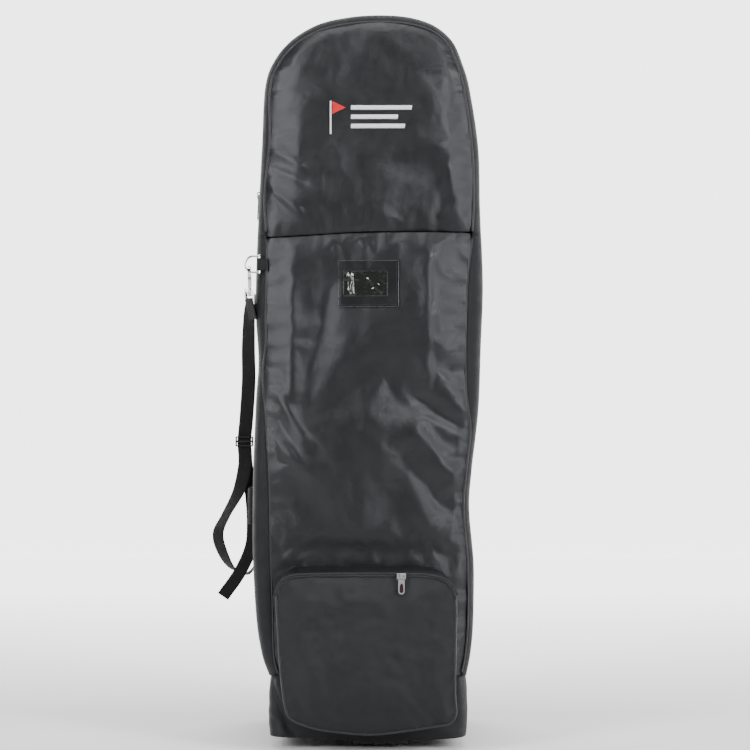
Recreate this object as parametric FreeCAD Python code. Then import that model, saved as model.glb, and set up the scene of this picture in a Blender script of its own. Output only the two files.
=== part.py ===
import FreeCAD, Part

import math
import os

from FreeCAD import Vector

# A wheeled soft travel case for a golf bag, standing on its base. Millimetres.
# +Z is up, the front faces -Y, and the origin is on the floor at the centre of the base.

HEIGHT = 1270.0
DEPTH = 300.0
WALL = 3.0
FRONT = -DEPTH / 2
BACK = DEPTH / 2

# Arched outline of the bag, seen from the front
FOOT_HALF = 172.0
LOW_HALF = 190.0
LOW_Z = 215.0
WIDE_HALF = 196.0
WIDE_Z = 815.0
SHOULDER_R = 100.0
SHOULDER_X = 77.0
SHOULDER_Z = 1150.0
CROWN_R = 258.0
LEAN = math.radians(3.3)

EDGE_R = 24.0  # roundness of the bag's front and back edges
SEAM_INSET = 22.0  # from the outline to the front and back seams
PIPING_R = 2.6
GAP = 0.4  # between parts that move apart

HOOD_Z = 887.0  # hood seam
ZIP_Y = -78.0  # main zipper, on the gusset
ZIP_WIDTH = 6.0

BOOT_BOTTOM = 13.0
BOOT_TOP = 125.0
BOOT_R = 24.0

WHEEL_X = 150.0
WHEEL_Y = 124.0
WHEEL_R = 33.0
WHEEL_WIDTH = 22.0
AXLE_R = 4.0
FIT = 0.06  # radial clearance of a running fit

RING_WIRE = 1.9
RING_BAR = 2.2
HOOK_THICK = 5.0

POCKET_LEFT = -158.0
POCKET_RIGHT = 151.0
POCKET_BOTTOM = 24.0
POCKET_TOP = 304.0
POCKET_DEPTH = 58.0
POCKET_R = 40.0
LID_TOP = 317.0
COIL_INSET = 3.4  # from the pocket's edge to its zipper

# The line through both swivels of the shoulder strap
SWIVEL_TOP = Vector(-206.0, -153.0, 822.0)
SWIVEL_LOW = Vector(-206.0, 50.0, 374.0)
TOP_FACING = -55.0  # turn of the webbing's width about the upright, at each end
LOW_FACING = -65.0
STRAP_WIDTH = 25.0
STRAP_THICK = 1.8

# Centre of the strap between its two swivels, and the turn of its width at each point
STRAP_PATH = [
    (-206, -128.8, 768.3, TOP_FACING), (-212, -85, 688, -52), (-214, -48, 630, -25),
    (-220, -19, 564, 0), (-224, -12, 522, 0), (-223, -9, 480, 0), (-235, 3, 433, -30),
    (-259, 5, 387, -70), (-273, 5, 353, -60), (-264, 10, 317, -60), (-248, 30, 288, -75),
    (-225, 62, 277, -90), (-208, 77, 292, -75), (-206, 74.5, 319.5, LOW_FACING),
]
# The loose end behind the adjuster
TAIL_PATH = [
    (-224, -5, 509, 0), (-220, 6, 470, 0), (-213, 14, 420, 0), (-210, 10, 370, 0),
    (-213, 0, 330, 0), (-232, -12, 286, 0), (-262, -22, 243, 0),
]

X = Vector(1, 0, 0)
Y = Vector(0, 1, 0)
Z = Vector(0, 0, 1)


def box(x0, x1, y0, y1, z0, z1):
    return Part.makeBox(x1 - x0, y1 - y0, z1 - z0, Vector(x0, y0, z0))


def cylinder(radius, length, start, axis):
    return Part.makeCylinder(radius, length, start, axis)


def tube(outer, inner, length, start, axis):
    return cylinder(outer, length, start, axis).cut(cylinder(inner, length, start, axis))


def prism(wire, y0, y1):
    """Solid between two depths, from a closed wire in the XZ plane."""
    face = Part.Face(wire)
    face.translate(Vector(0, y0, 0))
    return face.extrude(Vector(0, y1 - y0, 0))


def joined(solids):
    first = solids[0]
    for solid in solids[1:]:
        first = first.fuse(solid)
    return first.removeSplitter()


def outline_points(inset):
    """Key points of the right half of the outline, moved inwards by inset."""
    shoulder = SHOULDER_R - inset
    crown = CROWN_R - inset
    crown_z = HEIGHT - CROWN_R
    join = math.atan2(SHOULDER_Z - crown_z, SHOULDER_X)
    middle = (LEAN + join) / 2
    return {
        "foot": Vector(FOOT_HALF - inset, 0, BOOT_TOP),
        "belly": Vector(LOW_HALF - 6 - inset, 0, (BOOT_TOP + LOW_Z) / 2 - 3),
        "low": Vector(LOW_HALF - inset, 0, LOW_Z),
        "wide": Vector(WIDE_HALF - inset, 0, WIDE_Z),
        "lean": Vector(SHOULDER_X + shoulder * math.cos(LEAN), 0,
                       SHOULDER_Z + shoulder * math.sin(LEAN)),
        "shoulder": Vector(SHOULDER_X + shoulder * math.cos(middle), 0,
                           SHOULDER_Z + shoulder * math.sin(middle)),
        "join": Vector(crown * math.cos(join), 0, crown_z + crown * math.sin(join)),
        "top": Vector(0, 0, HEIGHT - inset),
    }


def mirrored(point):
    return Vector(-point.x, point.y, point.z)


def outline_edges(inset):
    """Edges of the arch from the left foot over the top to the right foot."""
    p = outline_points(inset)
    foot = p["foot"]
    left = [
        Part.Arc(mirrored(foot), mirrored(p["belly"]), mirrored(p["low"])).toShape(),
        Part.makeLine(mirrored(p["low"]), mirrored(p["wide"])),
        Part.makeLine(mirrored(p["wide"]), mirrored(p["lean"])),
        Part.Arc(mirrored(p["lean"]), mirrored(p["shoulder"]), mirrored(p["join"])).toShape(),
    ]
    crown = Part.Arc(mirrored(p["join"]), p["top"], p["join"]).toShape()
    right = [
        Part.Arc(p["join"], p["shoulder"], p["lean"]).toShape(),
        Part.makeLine(p["lean"], p["wide"]),
        Part.makeLine(p["wide"], p["low"]),
        Part.Arc(p["low"], p["belly"], foot).toShape(),
    ]
    return left + [crown] + right


def outline_curve(inset):
    """The arch as one smooth edge."""
    points = Part.Wire(outline_edges(inset)).discretize(Number=48)
    curve = Part.BSplineCurve()
    curve.interpolate(points)
    return curve.toShape()


def outline(inset):
    arch = outline_curve(inset)
    start, end = arch.Vertexes[0].Point, arch.Vertexes[-1].Point
    return Part.Wire([arch, Part.makeLine(end, start)])


def rounded_arch(inset, radius):
    """Solid arch with rounded front and back edges."""
    solid = prism(outline(inset), FRONT + inset, BACK - inset)
    long_edges = [e for e in solid.Edges if e.Length > 2000]
    return solid.makeFillet(radius, long_edges)


def shell():
    return rounded_arch(0, EDGE_R).cut(rounded_arch(WALL, EDGE_R - WALL))


def piping(y):
    """Covered cord in the seam at depth y, all round the arch."""
    ring = prism(outline(SEAM_INSET - PIPING_R), y - PIPING_R, y + PIPING_R)
    return ring.cut(prism(outline(SEAM_INSET + PIPING_R), y - 10, y + 10))


def slab(z_low, z_high, y_low=-300, y_high=300, x_low=-300, x_high=300):
    """Box that keeps what lies between two heights."""
    return box(x_low, x_high, y_low, y_high, z_low, z_high)


def shell_parts():
    """The sewn walls, split along the seams, the hood seam and the main zipper."""
    whole = shell()
    room = PIPING_R + 0.05
    face = outline(SEAM_INSET + room)
    rim = outline(SEAM_INSET - room)
    front = whole.common(prism(face, FRONT - 1, FRONT + 12))
    back = whole.common(prism(face, BACK - 12, BACK + 1))
    ring = whole.cut(prism(rim, FRONT - 1, FRONT + 12)).cut(prism(rim, BACK - 12, BACK + 1))
    front_cord = piping(FRONT)
    top = HEIGHT + 10
    zip_front = ZIP_Y - ZIP_WIDTH / 2
    zip_back = ZIP_Y + ZIP_WIDTH / 2
    lower = ring.common(slab(0, HOOD_Z))
    return {
        "front_panel": front.common(slab(0, HOOD_Z)),
        "hood_front": front.common(slab(HOOD_Z + GAP, top)),
        "back_panel": back,
        "left_gusset": lower.common(slab(0, HEIGHT, x_high=0)),
        "right_gusset": lower.common(slab(0, HEIGHT, x_low=0)),
        "crown_gusset": ring.common(slab(HOOD_Z, top, y_low=zip_back)),
        "hood_gusset": ring.common(slab(HOOD_Z + GAP, top, y_high=zip_front - GAP)),
        "main_zip_coil": ring.common(slab(HOOD_Z, top, zip_front, zip_back)),
        "front_piping": front_cord.common(slab(0, HOOD_Z)),
        "hood_piping": front_cord.common(slab(HOOD_Z + GAP, top)),
        "back_piping": piping(BACK),
    }


def arch_skin(inset, thick, y0, y1, z_low):
    """Band that follows the outline, from inset inwards."""
    band = prism(outline(inset), y0, y1).cut(prism(outline(inset + thick), y0 - 1, y1 + 1))
    return band.common(box(-300, 300, -300, 300, z_low, HEIGHT + 10))


def zip_tapes():
    """The zipper's two woven tapes, on the outside of the gusset."""
    edge = ZIP_WIDTH / 2
    return {
        "main_zip_tape_body": arch_skin(-1.0, 1.0, ZIP_Y + edge, ZIP_Y + edge + 12, HOOD_Z),
        "main_zip_tape_hood": arch_skin(
            -1.0, 1.0, ZIP_Y - edge - 12, ZIP_Y - edge - GAP, HOOD_Z + GAP),
    }


def padding():
    """Foam round the club heads: one piece in the fixed crown, one behind the hood front."""
    face = prism(outline(SEAM_INSET + 4), FRONT + WALL + 0.2, FRONT + WALL + 10)
    return {
        "crown_foam": arch_skin(WALL + 0.4, 9.0, ZIP_Y + 8, BACK - EDGE_R - 2, HOOD_Z + 8),
        "hood_foam": face.common(box(-300, 300, -300, 0, HOOD_Z + 12, HEIGHT)),
    }


# Main zipper sliders, on the straight sides of the hood


def side_frame(side, z):
    """Point on the outline's leaning straight side, and the directions out and up along it."""
    p = outline_points(0)
    along = (p["lean"] - p["wide"]).normalize()
    point = p["wide"] + along * ((z - WIDE_Z) / along.z)
    out = Vector(along.z, 0, -along.x)
    if side < 0:
        point, along, out = mirrored(point), mirrored(along), mirrored(out)
    point.y = ZIP_Y
    return point, out, along


def placed(solid, origin, out, up):
    """Moves a solid drawn with +X outwards and +Z upwards to a point on the bag's side."""
    across = up.cross(out)
    matrix = FreeCAD.Matrix(
        out.x, across.x, up.x, origin.x,
        out.y, across.y, up.y, origin.y,
        out.z, across.z, up.z, origin.z,
        0, 0, 0, 1)
    return solid.transformGeometry(matrix)


def slider_body():
    """Zipper slider, drawn with +X outwards and +Z along the zipper."""
    plate = box(1.5, 4.0, -5, 5, -9, 9)
    plate = plate.makeFillet(1.2, plate.Edges)
    bridge = box(3.6, 9.0, -1.8, 1.8, -6.0, 6.0).cut(box(4.6, 7.6, -3, 3, -4.2, 4.2))
    return joined([plate, bridge])


def pull_tab(length):
    """Pull tab that hangs from the slider's bridge, drawn in the same directions."""
    rod = cylinder(0.8, 8.2, Vector(6.1, -4.1, 0), Y)
    arms = [box(5.2, 7.0, y - 1, y + 1, -14, 1) for y in (-3.1, 3.1)]
    plate = box(5.2, 6.8, -4.1, 4.1, -length, -12)
    ends = [e for e in plate.Edges
            if e.BoundBox.XLength > 1.5 and e.CenterOfMass.z < -length + 1]
    plate = plate.makeFillet(3.5, ends)
    return joined([plate, rod] + arms)


def main_sliders():
    parts = {}
    for name, side in (("left", -1), ("right", 1)):
        point, out, up = side_frame(side, 960.0)
        parts["main_slider_" + name] = placed(slider_body(), point, out, up)
        parts["main_pull_" + name] = placed(pull_tab(44.0), point, out, up)
    return parts


# Base


def rounded_slab(half_x, y0, y1, z0, z1, radius):
    solid = box(-half_x, half_x, y0, y1, z0, z1)
    corners = [e for e in solid.Edges if e.BoundBox.ZLength > z1 - z0 - 0.1]
    return solid.makeFillet(radius, corners)


def housing_block(side, grow=0.0):
    """Corner block that holds a wheel, open at the floor."""
    x0 = WHEEL_X - 32 - grow
    x1 = WHEEL_X + 26 + grow
    block = box(x0, x1, WHEEL_Y - 46 - grow, BACK + 8 + grow, 8, 78 + grow)
    if side < 0:
        block = block.mirror(Vector(0, 0, 0), X)
    return block


def base_boot():
    outer = rounded_slab(FOOT_HALF, FRONT, BACK, BOOT_BOTTOM, BOOT_TOP, BOOT_R)
    inner = rounded_slab(FOOT_HALF - WALL, FRONT + WALL, BACK - WALL,
                         BOOT_BOTTOM + WALL, BOOT_TOP + 1, BOOT_R - WALL)
    tray = outer.cut(inner)
    for side in (-1, 1):
        tray = tray.cut(housing_block(side))
    return tray


def base_board():
    board = rounded_slab(FOOT_HALF - WALL - 1, FRONT + WALL + 1, BACK - WALL - 1,
                         BOOT_BOTTOM + WALL, BOOT_BOTTOM + WALL + 6, BOOT_R - WALL - 1)
    for side in (-1, 1):
        board = board.cut(housing_block(side, 1.0))
    return board


def base_skid():
    runner = box(-26, 69, FRONT + 2, WHEEL_Y - 30, 0, BOOT_BOTTOM)
    ends = [e for e in runner.Edges
            if e.BoundBox.ZMax < 0.01 and e.BoundBox.XLength > 90]
    runner = runner.makeChamfer(6.0, ends)
    grooves = [box(x, x + 4, FRONT - 5, BACK, -1, 3) for x in (-16, 8, 32, 56)]
    for groove in grooves:
        runner = runner.cut(groove)
    return runner


def wheel_parts(side, name):
    centre = Vector(WHEEL_X, WHEEL_Y, WHEEL_R)
    half = WHEEL_WIDTH / 2
    start = centre - X * half
    profile = tube(WHEEL_R, 22.0, WHEEL_WIDTH, start, X)
    rims = [e for e in profile.Edges if abs(e.Length - 2 * math.pi * WHEEL_R) < 0.1]
    tyre = profile.makeFillet(4.0, rims)
    hub = tube(22.0, AXLE_R + FIT, WHEEL_WIDTH + 2, centre - X * (half + 1), X)
    for turn in range(5):
        angle = 2 * math.pi * turn / 5
        hole = centre + Vector(-half - 5, 13 * math.cos(angle), 13 * math.sin(angle))
        hub = hub.cut(cylinder(4.0, WHEEL_WIDTH + 10, hole, X))
    block = housing_block(1)
    well = cylinder(WHEEL_R + 4, WHEEL_WIDTH + 8, centre - X * (half + 4), X)
    slot = box(centre.x - half - 4, centre.x + half + 4,
               WHEEL_Y - WHEEL_R - 4, BACK + 20, 0, WHEEL_R)
    block = block.cut(well).cut(slot)
    upright = [e for e in block.Edges
               if e.BoundBox.ZLength > 60 and e.BoundBox.XLength < 0.1
               and e.CenterOfMass.y > BACK and e.CenterOfMass.x > WHEEL_X]
    if upright:
        block = block.makeFillet(10.0, upright[:1])
    ends = (WHEEL_X - 32 + 3, WHEEL_X + 26 - 3)
    axle = cylinder(AXLE_R, ends[1] - ends[0], Vector(ends[0], WHEEL_Y, WHEEL_R), X)
    block = block.cut(axle)
    parts = {
        "wheel_housing_" + name: block,
        "wheel_tyre_" + name: tyre,
        "wheel_hub_" + name: hub,
    }
    if side < 0:
        parts = {key: solid.mirror(Vector(0, 0, 0), X) for key, solid in parts.items()}
        axle = axle.mirror(Vector(0, 0, 0), X)
    return parts, axle


def housing_rivets():
    """Round-headed rivets through the boot wall, beside each wheel housing."""
    rivets = []
    for side in (-1, 1):
        for y in (58.0, 70.0):
            start = Vector(side * (FOOT_HALF - WALL - 2), y, 40)
            shank = cylinder(2.4, WALL + 2, start, X * side)
            head = cylinder(5.0, 1.8, Vector(side * FOOT_HALF, y, 40), X * side)
            rivets.append(joined([shank, head]))
    return Part.makeCompound(rivets)


# Front pocket


def pocket_wire(inset):
    """Box outline of the pocket with rounded corners, open to the lid at the top."""
    x0 = POCKET_LEFT + inset
    x1 = POCKET_RIGHT - inset
    z0 = POCKET_BOTTOM + inset
    z1 = POCKET_TOP - inset
    solid = box(x0, x1, 0, 1, z0, z1)
    corners = [e for e in solid.Edges if e.BoundBox.YLength > 0.9]
    solid = solid.makeFillet(POCKET_R - inset, corners)
    front = min(solid.Faces, key=lambda f: f.CenterOfMass.y)
    return front.OuterWire


def pocket_parts():
    face_y = FRONT - POCKET_DEPTH
    band = prism(pocket_wire(0), face_y + 4.7, FRONT)
    band = band.cut(prism(pocket_wire(WALL), face_y - 1, FRONT + 1))
    under = box(-300, 300, -300, 0, 0, POCKET_TOP - WALL - GAP)
    band = band.common(box(-300, 300, -300, 0, 0, POCKET_TOP - POCKET_R))
    cord = pocket_piping(face_y)
    face = prism(pocket_wire(3.2), face_y, face_y + WALL).common(under)
    coil = pocket_coil(face_y)
    room = upper_ring_of_pocket(0.0, COIL_INSET + 4.55, face_y - 1.0, face_y + 4.0)
    return {
        "pocket_band": band,
        "pocket_face": face.cut(room),
        "pocket_piping": cord,
        "pocket_zip_coil": coil,
        "pocket_lid": pocket_lid(face_y),
    }


def pocket_piping(face_y):
    """Cord round the pocket's face, up to the zipper's ends."""
    y = face_y + 2
    ring = prism(pocket_wire(0.5 - PIPING_R), y - PIPING_R, y + PIPING_R)
    ring = ring.cut(prism(pocket_wire(0.5 + PIPING_R), y - 10, y + 10))
    return ring.common(slab(0, POCKET_TOP - POCKET_R - 0.2))


def pocket_coil(face_y):
    """Closed zipper just inside the pocket's top edge and round its upper corners."""
    return upper_ring_of_pocket(COIL_INSET, COIL_INSET + 4.5, face_y - 1.0, face_y + 4.0)


def upper_ring_of_pocket(outer, inner, y0, y1):
    """Arch-shaped strip between two insets of the pocket's outline."""
    ring = prism(pocket_wire(outer), y0, y1).cut(prism(pocket_wire(inner), y0 - 3, y1 + 3))
    return ring.common(box(-300, 300, -300, 0, POCKET_TOP - POCKET_R, POCKET_TOP + 5))


def pocket_lid(face_y):
    """Strip that covers the pocket from above, sloping from the bag to the zipper."""
    outer = prism(pocket_wire(0), face_y + 4.0 + GAP, FRONT - 0.4)
    roof = outer.cut(prism(pocket_wire(WALL), face_y - 1, FRONT + 1))
    roof = roof.common(box(-300, 300, -300, 0, POCKET_TOP - POCKET_R + GAP, POCKET_TOP + 5))
    tape = box(-118, 111, FRONT - 2.0, FRONT - 0.4, POCKET_TOP - WALL, LID_TOP)
    return roof.fuse(tape).removeSplitter()


def pocket_slider_parts():
    """Slider and pull tab on the pocket's zipper, drawn upright and facing forwards."""
    face_y = FRONT - POCKET_DEPTH
    out = Vector(0, -1, 0)
    origin = Vector(57.0, face_y - 0.5, POCKET_TOP - COIL_INSET - 2.2)
    # The slider runs sideways, so its own +Z lies along X.
    body = box(1.0, 3.6, -5, 5, -8, 8)
    body = body.makeFillet(1.2, body.Edges)
    knob = box(3.2, 8.6, -4.5, 4.5, -1.8, 1.8).cut(box(4.2, 7.2, -3.1, 3.1, -3, 3))
    slider = placed(joined([body, knob]), origin, out, X)
    top = origin.z
    tab_plate = box(-5.5, 5.5, face_y - 11.4, face_y - 9.9, top - 29.5, top - 4.5)
    low_corners = [e for e in tab_plate.Edges
                   if e.BoundBox.YLength > 1.4 and e.CenterOfMass.z < top - 18.5]
    tab_plate = tab_plate.makeFillet(5.2, low_corners)
    tab_plate.translate(Vector(57.0, 0, 0))
    pivot = Vector(57.0 - 4.2, face_y - 6.2, top)
    rod = cylinder(0.8, 8.4, pivot, X)
    arms = [box(57.0 + s - 0.9, 57.0 + s + 0.9, face_y - 11.4, face_y - 5.4,
                top - 8.5, top + 0.8) for s in (-3.3, 3.3)]
    pull = joined([tab_plate, rod] + arms)
    return {"pocket_slider": slider, "pocket_pull": pull}


# Card window and emblem


def rounded_plate(x0, x1, y0, y1, z0, z1, radius):
    plate = box(x0, x1, y0, y1, z0, z1)
    corners = [e for e in plate.Edges if e.BoundBox.YLength > y1 - y0 - 0.01]
    return plate.makeFillet(radius, corners)


def card_window():
    frame = rounded_plate(-52, 54, FRONT - 2.4, FRONT, 758, 840, 6)
    frame = frame.cut(rounded_plate(-43, 34, FRONT - 5, FRONT - 1.0, 777, 822, 4))
    frame = frame.cut(box(-43, 34, FRONT - 1.0, FRONT + 1, 777, 822))
    card = box(-42, 33, FRONT - 0.5, FRONT, 778, 821)
    film = box(-43, 34, FRONT - 1.4, FRONT - 0.6, 777, 822)
    return {"window_frame": frame.cut(film), "window_film": film, "name_card": card}


def emblem():
    """Raised embroidery: a flag on its pole, and rows of plain stripes."""
    y0 = FRONT - 1.6
    y1 = FRONT
    pole = box(-66, -63, y0, y1, 1058, 1115)
    points = [Vector(-62.6, y0, 1115), Vector(-38, y0, 1104), Vector(-62.6, y0, 1092)]
    flag = Part.Face(Part.makePolygon(points + points[:1])).extrude(Vector(0, y1 - y0, 0))
    stripes = [box(-30, 76, y0, y1, 1100, 1108), box(-30, 52, y0, y1, 1084, 1092),
               box(-30, 64, y0, y1, 1068, 1076)]
    return {
        "emblem_pole": pole,
        "emblem_flag": flag,
        "emblem_stripes": Part.makeCompound(stripes),
    }


# Shoulder strap and its fittings


def strap_line():
    return (SWIVEL_LOW - SWIVEL_TOP).normalize()


def on_line(solid, at):
    """Moves a fitting drawn along -Z at the origin to a point on the swivel line."""
    down = strap_line()
    tilt = math.degrees(math.atan2(down.y, -down.z))
    turned = solid.copy()
    turned.rotate(Vector(0, 0, 0), X, tilt)
    turned.translate(at)
    return turned


def d_ring(x_bar, leg, half, contact):
    """Ring with a straight upright bar and a round outer side that passes the contact point."""
    x_mid = x_bar - leg
    y = contact.y
    z = contact.z + math.sqrt(half ** 2 - (contact.x - x_mid) ** 2)
    bow = Part.makeTorus(half, RING_WIRE, Vector(x_mid, y, z), Y)
    bow = bow.common(box(x_mid - 50, x_mid, y - 20, y + 20, z - 50, z + 50))
    legs = [cylinder(RING_WIRE, x_bar - x_mid, Vector(x_mid, y, z + up), X)
            for up in (-half, half)]
    bar = cylinder(RING_BAR, 2 * half + 2 * RING_BAR, Vector(x_bar, y, z - half - RING_BAR), Z)
    ring = joined([bow, bar] + legs)
    half_tab = half - RING_WIRE - 1.5
    return ring, Vector(x_bar, y, z), half_tab


def ring_tab(bar_at, half, x_root):
    """Webbing folded round the ring's bar and sewn to the gusset at x_root."""
    low = bar_at - Z * half
    fold = cylinder(3.8, 2 * half, low, Z)
    tail = box(bar_at.x, x_root, bar_at.y - 3.8, bar_at.y + 3.8,
               bar_at.z - half, bar_at.z + half)
    bore = cylinder(RING_BAR + FIT, 2 * half + 2, low - Z, Z)
    return fold.fuse(tail).removeSplitter().cut(bore)


def snap_hook():
    """Trigger hook in the YZ plane that hangs from the origin, with a stem for the swivel."""
    x = HOOK_THICK / 2
    outer = box(-x, x, -9.5, 9.5, -12, 9)
    outer = outer.makeFillet(8.0, [e for e in outer.Edges if e.BoundBox.XLength > 4])
    inner = box(-x - 1, x + 1, -5.5, 5.5, -9, 5)
    inner = inner.makeFillet(4.5, [e for e in inner.Edges if e.BoundBox.XLength > 4])
    mouth = box(-x - 1, x + 1, 3, 12, -8.5, 0.5)
    body = box(-x, x, -7.5, 11.5, -30, -10.5)
    body = body.makeFillet(2.0, [e for e in body.Edges if e.BoundBox.XLength > 4])
    hook = joined([outer.cut(inner).cut(mouth), body])
    channel = box(-1.6 - FIT, 1.6 + FIT, 6.0 - FIT, 9.1 + FIT, -28.5, 3)
    window = box(-1.6 - FIT, 1.6 + FIT, 8.5, 14, -22, -9.0)
    hook = hook.cut(channel).cut(window)
    stem = cylinder(2.6, 13.5, Vector(0, 0, -43), Z)
    flange = cylinder(4.6, 1.8, Vector(0, 0, -44.8), Z)
    return joined([hook, stem, flange])


def hook_gate():
    """Sliding bolt that closes the hook's mouth, with a thumb stud."""
    bolt = box(-1.6, 1.6, 6.0, 9.1, -19.5, 0.2)
    stud = box(-1.6, 1.6, 9.0, 14.5, -12.8, -9.6)
    return joined([bolt, stud])


def swivel_loop():
    """Rectangular loop that turns on the hook's stem and carries the webbing."""
    rim = tube(5.4, 2.6 + FIT, 5.0, Vector(0, 0, -41.8), Z)
    top = box(-14.5, 14.5, -2, 2, -41.4, -37.4)
    top = top.cut(cylinder(2.6 + FIT, 20, Vector(0, 0, -50), Z))
    legs = [box(s * 14.5 - 2, s * 14.5 + 2, -2, 2, -56, -37.4) for s in (-1, 1)]
    low = cylinder(2.0, 29, Vector(-14.5, 0, -54), X)
    return joined([rim, top, low] + legs)


def webbing(path, width, thick):
    """Flat strap along a smooth line. Each point has x, y, z and the turn of the width."""
    points = [Vector(x, y, z) for x, y, z, turn in path]
    turns = [turn for x, y, z, turn in path]
    curve = Part.BSplineCurve()
    curve.interpolate(points)
    spots = [curve.parameter(point) for point in points]
    sections = []
    for index in range(len(points) - 1):
        last = index == len(points) - 2
        for step in range(6 if last else 5):
            share = step / 5
            at = spots[index] + (spots[index + 1] - spots[index]) * share
            turn = math.radians(turns[index] + (turns[index + 1] - turns[index]) * share)
            along = Vector(*curve.tangent(at)[0])
            wide = Vector(math.cos(turn), math.sin(turn), 0)
            wide = (wide - along * wide.dot(along)).normalize()
            through = along.cross(wide).normalize()
            centre = curve.value(at)
            a = wide * (width / 2)
            b = through * (thick / 2)
            corners = [centre - a - b, centre + a - b, centre + a + b, centre - a + b]
            sections.append(Part.makePolygon(corners + corners[:1]))
    return Part.makeLoft(sections, True, True)


def loop_fold(at, turn):
    """Strap end folded round a swivel loop's lower bar."""
    start = Vector(-STRAP_WIDTH / 2, 0, -54)
    fold = tube(3.8, 2.0, STRAP_WIDTH, start, X)
    fold.rotate(Vector(0, 0, 0), Z, turn)
    return on_line(fold, at)


def strap_adjuster():
    """Three-bar slide round the strap."""
    x, y, z = STRAP_PATH[4][:3]
    half = 9.0
    frame = box(x - 16, x + 16, y - 4.6, y + 4.6, z - half, z + half)
    frame = frame.makeFillet(2.0, [e for e in frame.Edges if e.BoundBox.YLength > 9])
    passage = box(x - 13.6, x + 13.6, y - 3.2, y + 3.2, z - half - 1, z + half + 1)
    windows = [box(x - 13.6, x + 13.6, y - 6, y + 6, z + low, z + low + 5.4)
               for low in (-6.9, 1.5)]
    frame = frame.cut(passage)
    for window in windows:
        frame = frame.cut(window)
    return frame


def strap_parts():
    parts = {}
    for name, at, facing in (("upper", SWIVEL_TOP, TOP_FACING),
                             ("lower", SWIVEL_LOW, LOW_FACING)):
        parts[name + "_hook"] = on_line(snap_hook(), at)
        parts[name + "_gate"] = on_line(hook_gate(), at)
        loop = swivel_loop()
        loop.rotate(Vector(0, 0, 0), Z, facing)
        parts[name + "_loop"] = on_line(loop, at)
    for name, at, x_bar, leg, half, x_root in (
            ("upper", SWIVEL_TOP, -189.0, 10.0, 14.0, -180.5),
            ("lower", SWIVEL_LOW, -196.0, 6.0, 12.0, -191.8)):
        ring, bar_at, half_tab = d_ring(x_bar, leg, half, at)
        parts[name + "_d_ring"] = ring
        parts[name + "_ring_tab"] = ring_tab(bar_at, half_tab, x_root)
    folds = [loop_fold(SWIVEL_TOP, TOP_FACING), loop_fold(SWIVEL_LOW, LOW_FACING)]
    strap = webbing(STRAP_PATH, STRAP_WIDTH, STRAP_THICK)
    parts["strap_webbing"] = Part.makeCompound([strap] + folds)
    parts["strap_tail"] = webbing(TAIL_PATH, 22.0, STRAP_THICK)
    parts["strap_adjuster"] = strap_adjuster()
    return parts


# Handles


def handle(length, rise, width):
    """Webbing handle drawn along Z, standing out along +X between its sewn ends, and its grip."""
    half = length / 2
    path = []
    for step in range(13):
        along = -1 + step / 6
        lift = rise * (1 - abs(math.sin(math.pi * along / 2)) ** 3)
        path.append((lift + 2.2, 0, along * half, 90))
    web = webbing(path, width, 3.0)
    core = box(rise - 2.4, rise + 9.6, -width / 2 - 4, width / 2 + 4, -half * 0.42, half * 0.42)
    core = core.makeFillet(5.0, [e for e in core.Edges if e.BoundBox.ZLength > half * 0.8])
    return web.cut(core), core


def handle_parts():
    parts = {}
    web, grip = handle(156.0, 13.0, 28.0)
    for name, solid in (("side_handle", web), ("side_handle_grip", grip)):
        at = Vector(-192.2, -40, 408)
        parts[name] = placed(solid, at, X * -1, Z)
    web, grip = handle(190.0, 22.0, 30.0)
    for name, solid in (("tow_handle", web), ("tow_handle_grip", grip)):
        parts[name] = placed(solid, Vector(0, BACK, 1120), Y, X)
    return parts


def build():
    parts = {}
    parts.update(shell_parts())
    parts.update(zip_tapes())
    parts.update(padding())
    parts.update(main_sliders())
    parts["housing_rivets"] = housing_rivets()
    parts["base_boot"] = base_boot().cut(parts["housing_rivets"])
    parts["base_board"] = base_board()
    parts["base_skid"] = base_skid()
    left, left_axle = wheel_parts(-1, "left")
    right, right_axle = wheel_parts(1, "right")
    parts.update(left)
    parts.update(right)
    parts["wheel_axles"] = Part.makeCompound([left_axle, right_axle])
    parts.update(pocket_parts())
    parts["pocket_band"] = parts["pocket_band"].cut(parts["front_piping"])
    parts.update(pocket_slider_parts())
    parts.update(card_window())
    parts.update(emblem())
    parts.update(strap_parts())
    parts.update(handle_parts())
    return parts


def main():
    os.makedirs("parts", exist_ok=True)
    for name, shape in build().items():
        shape.exportStep("parts/" + name + ".step")
        box_of = shape.BoundBox
        print(name, len(shape.Solids), shape.isValid(), round(shape.Volume),
              [round(v, 1) for v in (box_of.XMin, box_of.XMax, box_of.YMin, box_of.YMax,
                                     box_of.ZMin, box_of.ZMax)])


main()
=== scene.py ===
import math

import bpy
import numpy as np
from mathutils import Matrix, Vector, noise
from mathutils.bvhtree import BVHTree
from mathutils.geometry import delaunay_2d_cdt


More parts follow.
